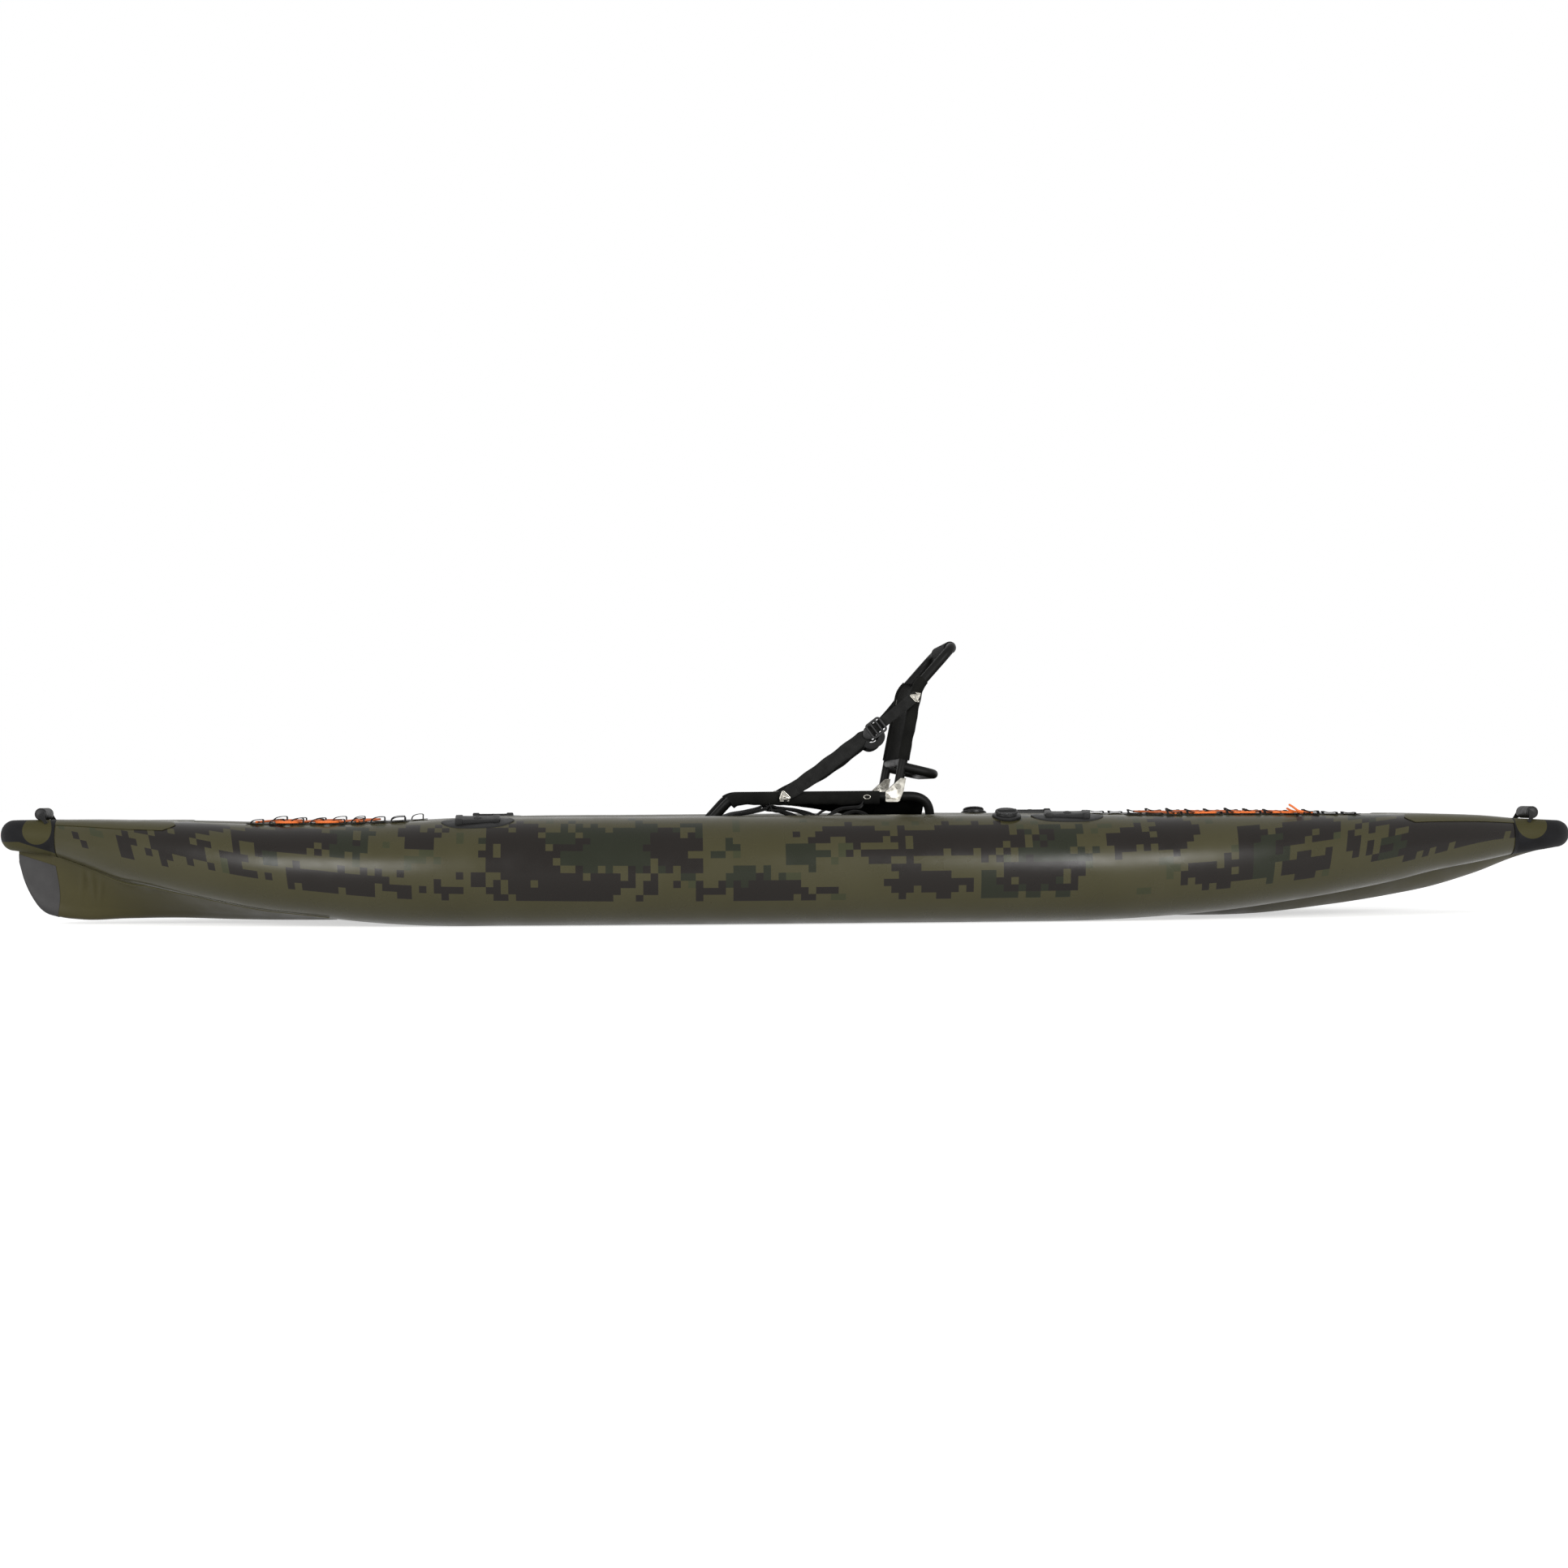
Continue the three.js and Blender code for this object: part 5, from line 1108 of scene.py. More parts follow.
daisy = {
    "webWidth": 0.025,
    "webThickness": 0.0016,
    "loopWidth": 0.0235,
    "loopThickness": 0.0019,
    "corner": 0.0006,
    # the loops' foot over the tube, and how far the bars of stitching pull the webbing down
    "foot": 0.0012,
    "dip": 0.0004,
    # no two loops stand quite alike: size and step of the change in their lean and in their height
    "leaning": (0.1, 2.3),
    "lifting": (0.16, 1.7),
    # which loops the bungee goes through, how far outboard it turns and its radius
    "bow": {"start": -0.67 * half, "pitch": 0.049, "count": 8, "laced": (0, 6),
            "turn": 0.024, "cord": 0.003},
    "stern": {"start": 0.41 * half, "pitch": 0.048, "count": 12, "laced": (2, 10),
              "turn": 0.012, "cord": 0.0025},
    # a loop with no cord in it lies flatter at the stern
    "flattened": {"bow": 1, "stern": 0.55},
    # side view of one loop: along and up
    "bowLoop": [(-0.017, 0), (-0.0155, 0.0052), (-0.0105, 0.0088), (-0.002, 0.0112), (0.008, 0.0121),
                (0.0148, 0.0112), (0.0152, 0.0055), (0.015, 0)],
    "sternLoop": [(-0.015, 0), (-0.0185, 0.0058), (-0.0195, 0.0098), (-0.0135, 0.0074), (-0.004, 0.005),
                  (0.007, 0.0052), (0.015, 0.0058), (0.0165, 0)],
}


def tubeTop(x):
    # Sideways place and height of a tube's top
    radius, y, z = tubeAt(np.asarray(x, float))
    return y, radius + z


def daisyChain(label, sideName, side):
    # Webbing along the tube's top, with a wave for its stitching, and one arched loop at each step
    values = daisy[label]
    start, pitch, count = values["start"], values["pitch"], values["count"]
    x = np.linspace(start, start + pitch * count, count * 12)
    y, top = tubeTop(x)
    dip = daisy["dip"] * np.cos((x - start) / pitch * 2 * math.pi)
    line = grid(x, side * y, top + hull["gap"] + daisy["webThickness"] / 2 + dip)
    flat = roundedBox(daisy["webWidth"], daisy["webThickness"], daisy["corner"], 3)
    thin = roundedBox(daisy["loopThickness"], daisy["loopWidth"], daisy["corner"], 3)
    parts = [pieceFrom("web", sweep(line, flat, (0, 0, 1)), "webbing")]
    (leanBy, leanStep), (liftBy, liftStep) = daisy["leaning"], daisy["lifting"]
    for k in range(count):
        middle = start + pitch * (k + 0.5)
        y, top = tubeTop(middle)
        lean = 1 + leanBy * math.sin(leanStep * k + side)
        lift = 1 + liftBy * math.sin(liftStep * k + 2 * side)
        if not values["laced"][0] <= k < values["laced"][1]:
            lift *= daisy["flattened"][label]
        arch = smoothLine(np.array(daisy[f"{label}Loop"]) * (lean, lift), 30)
        points = grid(middle + arch[:, 0], side * y, top + daisy["foot"] + arch[:, 1])
        parts.append(pieceFrom(f"loop_{k}", sweep(points, thin, (0, 1, 0)), "webbing"))
    settle(joined(f"{label}_daisy_{sideName}", parts), "boat", "webbing", f"{label}_daisy_chain_{sideName}")


for label in noses:
    for sideName, side in sides.items():
        daisyChain(label, sideName, side)


bungees = {
    "lift": 0.0024,
    # loose ends: along the hull, across it and up from the tube's top
    "tails": [
        [(1.222, -0.292, 0.006), (1.208, -0.294, 0.009), (1.196, -0.297, 0.017), (1.184, -0.3, 0.024)],
        [(1.222, -0.284, 0.004), (1.206, -0.282, 0.006), (1.194, -0.279, 0.009), (1.183, -0.276, 0.015)],
    ],
}


def lacedBungee(label):
    # Cord to and fro: out through a loop, back across the hull, out through the one opposite, and on
    values = daisy[label]
    first, last = values["laced"]
    places = [values["start"] + values["pitch"] * (k + 0.5) for k in range(first, last)]
    edge = daisy["webWidth"] / 2

    def spot(x, side, outboard):
        y, top = tubeTop(x)
        return (x, side * (y + outboard), top + bungees["lift"] + values["cord"])

    route = [spot(places[0], port, values["turn"])]
    side = port
    for k, x in enumerate(places):
        route += [spot(x, side, edge), spot(x, side, -edge), spot(x, side, -3 * edge)]
        route += [spot(x, -side, -3 * edge), spot(x, -side, -edge), spot(x, -side, edge)]
        following = (x + places[k + 1]) / 2 if k + 1 < len(places) else x
        route.append(spot(following, -side, values["turn"]))
        side = -side
    line = smoothLine(route, 900)
    parts = [tubeAlong("cord", line, values["cord"], "bungee", (0, 0, 1), 10, 0.002)]
    if label == "stern":
        for tail in bungees["tails"]:
            tail = np.array(tail)
            tail[:, 2] += tubeTop(tail[:, 0])[1]
            tail = smoothLine(tail, 30)
            parts.append(tubeAlong("tail", tail, values["cord"], "bungee", (0, 1, 0), 10, 0.001))
    settle(joined(f"{label}_bungee_cord", parts), "boat", "bungee", f"{label}_bungee")


for label in noses:
    lacedBungee(label)


handles = {
    "bow": {"setBack": 0.012},
    "stern": {"setBack": 0.03},
    "gripRadius": 0.015,
    "gripLength": 0.098,
    "webWidth": 0.022,
    "webThickness": 0.003,
    "webCorner": 0.0009,
    "neckWidth": 0.008,
    "arm": 0.026,
    "rootRadius": 0.004,
    "restGap": 0.0007,
    "rootAngle": math.radians(54),
    # the web's outline, sideways and up the arm, at the root and at the grip
    "atRoot": [(0.001, -0.003), (-0.001, 0.003), (-0.004, 0.009)],
    "atGrip": [(0.009, -0.0035), (0.0035, 0), (-0.01, 0)],
    "neckFrom": 0.006,
    "neckShort": 0.002,
    # the grip's rounded ends start at this share of its half length; its grooves end before them
    "endFrom": 0.93,
    "endLeast": 0.3,
    "grooveTo": 0.86,
    "groove": 0.045,
    "grooveWaves": 11,
    "groovePower": 6,
}


def handle(label):
    # Webbing bent up from both roots, tilted over until the grip rests on the tubes, and a grooved grip
    toEnd, end = noses[label]["sign"], noses[label]["end"]
    x = end + toEnd * handles[label]["setBack"]
    height, shoulder, z = (float(v) for v in noseAt(label, np.array(x)))
    reach = height - hull["wrapThickness"] + handles["rootRadius"] + 2 * hull["gap"]
    rootY = shoulder + reach * math.cos(handles["rootAngle"])
    rootZ = z + reach * math.sin(handles["rootAngle"])
    rise = float(tubeTop(end)[1]) + handles["gripRadius"] + handles["restGap"] - rootZ
    arm, halfGrip = handles["arm"], handles["gripLength"] / 2
    tilt = toEnd * math.acos(rise / arm)
    c, s = math.cos(tilt), math.sin(tilt)

    def standing(points):
        # Places along, across and up the arm, turned over by the tilt
        u, v, w = np.moveaxis(points, -1, 0)
        return grid(x + u * c + w * s, v, rootZ - u * s + w * c)

    outer = [*(np.array(handles["atRoot"]) + (rootY, 0)), *(np.array(handles["atGrip"]) + (halfGrip, arm))]
    line = smoothLine([*outer, *((-y, w) for y, w in outer[::-1])], 160)
    line = grid(0, line[:, 0], line[:, 1])
    neck = halfGrip + handles["neckFrom"]
    share = ramp(np.abs(line[:, 1]), neck, rootY - neck - handles["neckShort"])
    width = handles["webWidth"] + (handles["neckWidth"] - handles["webWidth"]) * share
    flat = roundedBox(1, handles["webThickness"], handles["webCorner"], 3)
    profile = grid(flat[:, 0] * width[:, None], flat[:, 1])
    web = pieceFrom(f"{label}_handle_web", standing(sweep(line, profile, (0, 0, 1))), "webbing")
    settle(web, f"{label}_handle", "webbing", f"{label}_handle_webbing")
    along = np.linspace(-1, 1, 90)
    ends = ramp(np.abs(along), handles["endFrom"], 1 - handles["endFrom"])
    ends = np.sqrt(np.clip(1 - ends**2, handles["endLeast"], 1))
    wave = (0.5 + 0.5 * np.cos(along * math.pi * handles["grooveWaves"])) ** handles["groovePower"]
    rings = 1 - handles["groove"] * wave * (np.abs(along) < handles["grooveTo"])
    ring = circle(1, 40) * (handles["gripRadius"] * ends * rings)[:, None, None]
    grip = standing(grid(ring[..., 0], along[:, None] * halfGrip, arm + ring[..., 1]))
    piece = pieceFrom(f"{label}_handle_tube", grip, "moulding", sharp=60)
    settle(piece, f"{label}_handle", "moulding", f"{label}_handle_grip")


for label in noses:
    handle(label)


footBrace = {
    "x": -0.8,
    "radius": 0.025,
    "endClear": 0.009,
    "strapWidth": 0.038,
    "strapThickness": 0.0025,
    "strapCorner": 0.001,
    "strapLength": 0.23,
    "strapUnder": 0.004,
    # the strap climbs on to the bar's lower rear quarter: height and length of the climb
    "climb": (0.012, 0.014),
}


def footBar(values):
    # Round bar between the tubes; each strap falls from it with the square of the way, then lies flat
    radius, y, _ = tubeAt(np.array(values["x"]))
    reach = float(y - radius) - values["endClear"]
    low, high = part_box("foot_brace_bar")
    middle = (low + high) / 2
    bar = barFrom("foot_bar", middle.x, np.linspace(-reach, reach, 80), middle.z, values["radius"], "foam",
                  guide=(0, 0, 1), count=48, dome=0.01)
    settle(bar, "boat", "grip_foam", "foot_brace_bar")
    start, (height, length) = values["x"] + values["radius"] - values["strapUnder"], values["climb"]
    x = np.linspace(start, start + values["strapLength"], 60)
    z = floorTop(x) + values["strapThickness"] / 2 + height * (1 - ramp(x, start, length)) ** 2
    across = reach - values["strapWidth"] / 2 - values["strapThickness"]
    flat = roundedBox(values["strapWidth"], values["strapThickness"], values["strapCorner"], 3)
    for sideName, side in sides.items():
        points = sweep(grid(x, side * across, z), flat, (0, 0, 1))
        strap = pieceFrom(f"foot_strap_{sideName}", points, "webbing")
        settle(strap, "boat", "webbing", f"foot_brace_strap_{sideName}")


footBar(footBrace)
print("hull fittings made")


# Seat
seat = {
    "halfWidth": 0.25,
    "footHalf": 0.205,
    "rail": 0.297,
    "tube": 0.011,
    "crossTube": 0.0095,
    "crossZ": 0.215,
    "footX": -0.293,
    "footLength": 0.06,
    "railFront": -0.134,
    "rear": 0.338,
    "bend": 0.05,
    "runner": 0.032,
    "pivot": (0.262, 0.32),
    "backBend": (0.31, 0.558),
    "backTop": (0.396, 0.654),
    "backCross": 0.377,
    "backGuide": (1, 0, -0.3),
    "rearBar": 0.368,
    "rearTip": (0.35, 0.349),
    "rearBend": 0.045,
    "gripRadius": 0.015,
    "gripHalf": 0.175,
    "gripDome": 0.006,
    "gripEnd": 0.74,
    "crossGap": 0.004,
}
footZ = float(floorTop(np.array(seat["rear"]))) + seat["tube"]


def uprightX(z):
    # Place along the hull of the back's uprights at a height
    return np.interp(z, [seat["pivot"][1], seat["backBend"][1]], [seat["pivot"][0], seat["backBend"][0]])


def sideFrame(sideName, side):
    # One bent tube: runner, front leg, rail, rear leg and the runner again
    wide, narrow, rail = side * seat["halfWidth"], side * seat["footHalf"], seat["rail"]
    corners = [
        (seat["footX"] - seat["footLength"], narrow, footZ),
        (seat["footX"], narrow, footZ),
        (seat["railFront"], wide, rail),
        (seat["rear"], wide, rail),
        (seat["rear"], narrow, footZ),
        (seat["footX"] + seat["runner"], narrow, footZ),
    ]
    line = bentLine(corners, seat["bend"], 260)
    piece = tubeAlong(f"seat_side_{sideName}", line, seat["tube"], "powder")
    settle(piece, "boat", "powder_coat", f"seat_frame_{sideName}")
    return line


railLine = sideFrame("port", port)
sideFrame("starboard", starboard)
share = (seat["crossZ"] - footZ) / (seat["rail"] - footZ)
legY = seat["footHalf"] + (seat["halfWidth"] - seat["footHalf"]) * share
frontLegX = seat["footX"] + (seat["railFront"] - seat["footX"]) * share
for name, x in (("front", frontLegX), ("rear", seat["rear"])):
    across = np.linspace(-legY, legY, 40)
    bar = barFrom(f"seat_{name}_bar", x, across, seat["crossZ"], seat["crossTube"], guide=(0, 0, 1))
    settle(bar, "boat", "powder_coat", f"seat_{name}_cross_tube")


def hoop(name, profile, bend, count, guide, node):
    # Bar up the port side, across and down the starboard side; its profile is the side view
    portSide = [(x, -seat["halfWidth"], z) for x, z in profile]
    line = bentLine(portSide + [(x, -y, z) for x, y, z in portSide[::-1]], bend, count)
    settle(tubeAlong(name, line, seat["tube"], "powder", guide), "backrest", "powder_coat", node)


def backFrame():
    # Hoop, cross tube, rear bar and the foam sleeve round the top
    backLine = [seat["pivot"], seat["backBend"], seat["backTop"]]
    hoop("back_hoop", backLine, seat["bend"], 420, seat["backGuide"], "back_frame")
    z = seat["backCross"]
    across = np.linspace(-1, 1, 40) * (seat["halfWidth"] - seat["crossGap"])
    bar = barFrom("back_bar", uprightX(z), across, z, seat["crossTube"], guide=(0, 0, 1))
    settle(bar, "backrest", "powder_coat", "back_cross_tube")
    root = (float(uprightX(seat["rearBar"])), seat["rearBar"])
    hoop("rear_hoop", [root, seat["rearTip"]], seat["rearBend"], 260, (0, 0, 1), "rear_bar")
    x, z = seat["backTop"]
    dome = np.maximum(domedEnds(120, seat["gripDome"], 2 * seat["gripHalf"]), seat["gripEnd"])
    line = grid(x, np.linspace(-1, 1, 120) * seat["gripHalf"], z)
    grip = pieceFrom("top_foam", sweep(line, circle(seat["gripRadius"], 40), (0, 0, 1), dome), "foam")
    settle(grip, "backrest", "grip_foam", "top_grip")


backFrame()


slings = {
    "thickness": 0.004,
    "sleeve": 0.0135,
    # angle up to which a sleeve goes round its tube, and how far the cloth draws in beside it, in radii
    "sleeveTurn": math.radians(140),
    "drawIn": 2.2,
    "seatFrom": -0.152,
    "seatTo": 0.222,
    "railNear": 0.012,
    "frontSag": 0.012,
    "backSag": 0.062,
    "sagFrom": -0.118,
    "sagLength": 0.342,
    "hang": 1.4,
    "backFrom": 0.385,
    "backTo": 0.575,
    "backLoose": 0.0005,
    "bow": 0.022,
    "bowLoss": 0.25,
    # waves of the wrinkles: how many radians a metre, size and shift
    "seatWrinkles": [(95, 0.0007, 0.4), (210, 0.0005, 1.9), (41, 0.0008, 2.7)],
    "backWrinkles": [(80, 0.0006, 0.9), (170, 0.0004, 2.2)],
    "crossWave": 40,
    "crossShare": 0.5,
    "flapTo": 0.326,
    "flapHalf": 0.232,
    "flapThickness": 0.004,
    "flapLap": 0.012,
    "flapDrop": 0.004,
    "flapDropLength": 0.1,
    "flapWave": (21, 60, 0.0008),
    # size each cloth was cut to, across and along; the seat's has less area, because it narrows behind
    "seatCut": (0.66, 0.48),
    "seatCutArea": 0.305,
    "backCut": (0.643, 0.195),
}


def slungCloth(name, path, bow, radius, hang, wrinkle):
    # One closed skin: a sleeve round each side tube and the slack cloth between them. The path is the
    # tubes' line in the side view; depth is measured square to it, to the side the cloth hangs.
    tangent = np.gradient(path, axis=0)
    tangent /= np.linalg.norm(tangent, axis=1, keepdims=True)
    wide, most, thickness = seat["halfWidth"], slings["sleeveTurn"], slings["thickness"]
    turn = np.linspace(-most, most, 29)
    reach, depthEdge = radius * math.cos(most), radius * math.sin(most)
    y = np.linspace(-(wide + reach), wide + reach, 64)
    near = bell(np.abs(y), wide, slings["drawIn"] * radius)
    s = distances(path)[:, None]
    ripple = sum(size * np.sin(s * wave + shift) for wave, size, shift in wrinkle)
    below = np.clip(np.sin(turn), 0, 1)
    sleeve = radius * (np.sin(turn) + (hang - 1) * below) + below * ripple
    cross = slings["crossShare"] * np.sin(y * slings["crossWave"])
    sag = bow[:, None] * (1 - (y / wide) ** 2) + ripple * cross
    lower = (sag + thickness / 2) * (1 - near) + depthEdge * hang * near
    upper = (sag - thickness / 2) * (1 - near) - depthEdge * near
    outside = wide + radius * np.cos(turn)
    outY = np.concatenate([outside, y[::-1], -outside[::-1], y])
    depth = np.concatenate([sleeve, lower[:, ::-1], sleeve[:, ::-1], upper], 1)
    points = grid(path[:, :1] + depth * tangent[:, 1:], outY, path[:, 1:] - depth * tangent[:, :1])
    return pieceFrom(name, points, "sling", sharp=75)


def seatSling():
    # The cloth sags with the square of the way back
    rail = railLine[:, [0, 2]]
    onRail = (rail[:, 0] > slings["seatFrom"]) & (rail[:, 0] < slings["seatTo"])
    path = evenly(rail[onRail & (rail[:, 1] > seat["rail"] - slings["railNear"])], 150)
    slack = slings["backSag"] - slings["frontSag"]
    sag = slings["frontSag"] + slack * ramp(path[:, 0], slings["sagFrom"], slings["sagLength"]) ** 2
    cloth = slungCloth("seat_cloth", path, sag, slings["sleeve"], slings["hang"], slings["seatWrinkles"])
    # behind the brackets the cloth goes on inboard of them, to the rear cross tube
    x = np.linspace(slings["seatTo"] - slings["flapLap"], slings["flapTo"], 40)[:, None]
    y = np.linspace(-1, 1, 80)
    sag = slings["backSag"] + slings["flapDrop"] * ramp(x, slings["seatTo"], slings["flapDropLength"])
    across, along, size = slings["flapWave"]
    z = seat["rail"] - slings["flapDrop"] - sag * (1 - y**2) + size * np.sin(y * across) * np.sin(x * along)
    half = slings["flapThickness"] / 2
    flap = sheetFrom("seat_flap", grid(x, y * slings["flapHalf"], z), half, -half, "sling")
    cloth = settle(joined("seat_cloth", [cloth, flap]), "boat", "sling_fabric", "seat_sling")


def backSling():
    # The cloth bows backwards, less towards its top
    z = np.linspace(slings["backFrom"], slings["backTo"], 120)
    lean = [(x, 0, z) for x, z in (seat["pivot"], seat["backBend"], seat["backTop"])]
    upright = bentLine(lean, seat["bend"], 300)
    path = evenly(grid(np.interp(z, upright[:, 2], upright[:, 0]), z), 120)
    share = (path[:, 1] - path[0, 1]) / (path[-1, 1] - path[0, 1])
    bow = slings["bow"] * (1 - slings["bowLoss"] * share)
    sleeve = slings["sleeve"] + slings["backLoose"]
    cloth = slungCloth("back_cloth", path, bow, sleeve, 1.0, slings["backWrinkles"])
    settle(cloth, "backrest", "sling_fabric", "back_sling")


seatSling()
backSling()
print("seat frame and slings made")


def refined(node, body, slotName, finish, bevel=0.0006):
    # A merged copy of a CAD solid with its edges broken
    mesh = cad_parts[node].data.copy()
    mesh.name = f"{node}_fine"
    work = bmesh.new()
    work.from_mesh(mesh)
    bmesh.ops.remove_doubles(work, verts=work.verts, dist=1e-6)
    bmesh.ops.dissolve_limit(work, angle_limit=math.radians(1), verts=work.verts, edges=work.edges)
    work.to_mesh(mesh)
    work.free()
    mesh.materials.clear()
    mesh.materials.append(finishes[finish])
    piece = bpy.data.objects.new(f"{node}_fine", mesh)
    bpy.context.scene.collection.objects.link(piece)
    edges = piece.modifiers.new("edges", "BEVEL")
    edges.width, edges.segments, edges.limit_method, edges.angle_limit = bevel, 2, "ANGLE", math.radians(30)
    smoothBy(piece, 40)
    return settle(piece, body, slotName, node)


for sideName in sides:
    for node, body in (
        ("hinge_bracket", "boat"),
        ("pivot_bolt", "boat"),
        ("lower_strap_anchor", "boat"),
        ("upper_strap_anchor", "backrest"),
    ):
        refined(f"{node}_{sideName}", body, "stainless", "steel")
for label in ("port", "starboard", "floor"):
    refined(f"{label}_valve_poppet", f"{label}_poppet", "moulding", "moulding", 0.0003)


straps = {
    "lower": (-0.01, 0.299),
    "upper": (0.302, 0.533),
    "face": 0.0154,
    "thickness": 0.005,
    # past the anchors, and over what length the padded sleeve swells at its lower and upper ends
    "past": 0.008,
    "swellOver": (0.05, 0.02),
    # half width and half thickness of the webbing and of the sleeve, and the waves of its stitching
    "web": (0.0125, 0.0014),
    "sleeve": (0.0172, 0.0034),
    "waves": ((0.0007, 110), (0.0003, 190)),
    # powers of the rounded flat section; each strap's sag and its power, and where its buckle sits
    "section": (0.55, 0.8),
    "sag": {"port": 0.003, "starboard": 0.026},
    "sagPower": 0.8,
    "buckleAt": {"port": 0.272, "starboard": 0.298},
    "fill": 0.4,
}
# ladder-lock buckle: rounded frame, two cross bars, thumb tab, and the webbing's end doubled back below it
buckle = {
    "length": 0.046,
    "width": 0.044,
    "rim": 0.004,
    "corner": 0.006,
    "rimCorner": 0.0012,
    "gap": 0.0002,
    "bar": 0.0026,
    "crossBar": 0.003,
    "crossBars": (-0.006, 0.008),
    "crossBarLift": 0.0012,
    "tab": [(-0.031, 0.011), (-0.036, 0.006), (-0.0375, 0), (-0.036, -0.006), (-0.031, -0.011),
            (-0.018, -0.017), (-0.018, 0.017)],
    # size and height of the tab's rings
    "tabRings": [(0.93, -0.0008), (1, 0), (1, 0.0016), (0.93, 0.0024)],
    "tail": [(0.002, -0.014, 0.0075), (-0.001, -0.024, 0.008), (-0.011, -0.031, 0.0085),
             (-0.025, -0.031, 0.008), (-0.037, -0.025, 0.007), (-0.044, -0.014, 0.006)],
    "tailSize": (0.015, 0.0018, 0.0006),
}


def backStrap(sideName, side):
    # One piece that runs from the seat to its back: webbing, padded sleeve and buckle
    (x0, z0), (x1, z1) = straps["lower"], straps["upper"]
    span = math.hypot(x1 - x0, z1 - z0)
    dx, dz = (x1 - x0) / span, (z1 - z0) / span
    middle = side * (seat["halfWidth"] + straps["face"] + straps["thickness"] / 2)

    def onStrap(points):
        # Places along the strap, up across its width and outboard; it sags quickly near its ends
        u, v, w = np.moveaxis(np.asarray(points, float), -1, 0)
        v = v - straps["sag"][sideName] * np.sin(np.clip(u / span, 0, 1) * math.pi) ** straps["sagPower"]
        return grid(x0 + u * dx - v * dz, middle + side * w, z0 + u * dz + v * dx)

    past, at = straps["past"], straps["buckleAt"][sideName]
    s = np.linspace(-past, span + past, 180)[:, None]
    lowerSwell, upperSwell = straps["swellOver"]
    inside = np.clip(np.minimum((s + past) / lowerSwell, (at - buckle["length"] / 2 - s) / upperSwell), 0, 1)
    inside = inside**2 * (3 - 2 * inside)
    width, thick = (
        web + (sleeve - web) * inside + size * np.sin(s * wave) * inside
        for web, sleeve, (size, wave) in zip(straps["web"], straps["sleeve"], straps["waves"])
    )
    # rounded flat section: each axis of a circle raised to its own power
    flat = np.sign(circle(1, 36)) * np.abs(circle(1, 36)) ** straps["section"]
    cloth = grid(s, flat[:, 0] * width, flat[:, 1] * thick)
    parts = [pieceFrom("sleeve", onStrap(cloth), "sleeve", sharp=70)]
    halfL, halfW, r = buckle["length"] / 2 - buckle["rim"], buckle["width"] / 2 - buckle["rim"], buckle["bar"]
    lift = straps["thickness"] / 2 + r + buckle["gap"]
    loop = roundedBox(2 * halfL, 2 * halfW, buckle["corner"], 8)
    loop = np.concatenate([loop, loop[:1]])
    line = evenly(grid(at + loop[:, 0], loop[:, 1], lift), 80)
    rim = sweep(line, roundedBox(2 * r, 3 * r, buckle["rimCorner"], 4), (0, 0, 1))
    parts.append(pieceFrom("rim", onStrap(rim), "moulding"))
    for place in buckle["crossBars"]:
        line = onStrap(grid(at + place, np.linspace(-halfW, halfW, 20), lift + buckle["crossBarLift"]))
        parts.append(tubeAlong("bar", line, buckle["crossBar"], "moulding", (0, 1, 0), 14, 0.001))
    tab = evenly(buckle["tab"] + buckle["tab"][:1], 48)[:-1]
    centre = tab.mean(0)
    rings = [centre + (tab - centre) * size + (at, 0) for size, _ in buckle["tabRings"]]
    plate = [grid(ring[:, 0], ring[:, 1], lift + up) for ring, (_, up) in zip(rings, buckle["tabRings"])]
    parts.append(pieceFrom("tab", onStrap(plate), "moulding"))
    wide, thin, corner = buckle["tailSize"]
    tail = sweep(smoothLine(buckle["tail"], 60) + (at, 0, 0), roundedBox(wide, thin, corner, 3), (0, 0, 1))
    parts.append(pieceFrom("tail", onStrap(tail), "webbing"))
    piece = joined(f"{sideName}_strap_cloth", parts)
    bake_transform(piece)
    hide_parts(f"{sideName}_back_strap", f"{sideName}_strap_buckle")


hooks = {
    # body, and corners of each hook from the anchor's middle, along the hull and up
    "lower": ("boat", [(-0.004, 0.0145), (0.0165, -0.006), (-0.013, -0.009)]),
    "upper": ("backrest", [(-0.0135, 0.005), (0.011, 0.005), (0.0045, -0.014)]),
    "out": 0.0058,
    "wire": 0.0016,
    "bend": 0.004,
    # size and outward place of the plate's rings; from where to where the rivet goes, and its radius
    "plate": ((0.86, -0.0006), (0.9, 0), (0.86, 0.0006)),
    "rivet": (-0.0085, 0.0022),
    "rivetRadius": 0.0028,
}


def strapHook(sideName, side, label):
    # Triangle of bent wire round a small plate, riveted through the strap's end to its anchor
    body, corners = hooks[label]
    corners = np.array(corners) + straps[label]
    out = side * (seat["halfWidth"] + straps["face"] + hooks["out"])
    start = (corners[:1] + corners[1:2]) / 2
    ring = np.concatenate([start, corners[1:], corners[:1], start])
    line = bentLine(grid(ring[:, 0], out, ring[:, 1]), hooks["bend"], 80)
    parts = [pieceFrom("wire", sweep(line, circle(hooks["wire"], 14), (0, 1, 0)), "steel")]
    edge = evenly(np.concatenate([corners, corners[:1]]), 49)[:-1]
    middle = edge.mean(0)
    rings = [np.insert(middle + (edge - middle) * size, 1, out + side * y, 1) for size, y in hooks["plate"]]
    parts.append(pieceFrom("plate", rings, "steel"))
    across = out + side * np.linspace(*hooks["rivet"], 8)
    parts.append(barFrom("rivet", middle[0], across, middle[1], hooks["rivetRadius"], "steel",
                         guide=(1, 0, 0), count=20, dome=0.0012))
    settle(joined(f"{label}_strap_hook_{sideName}", parts), body, "stainless")


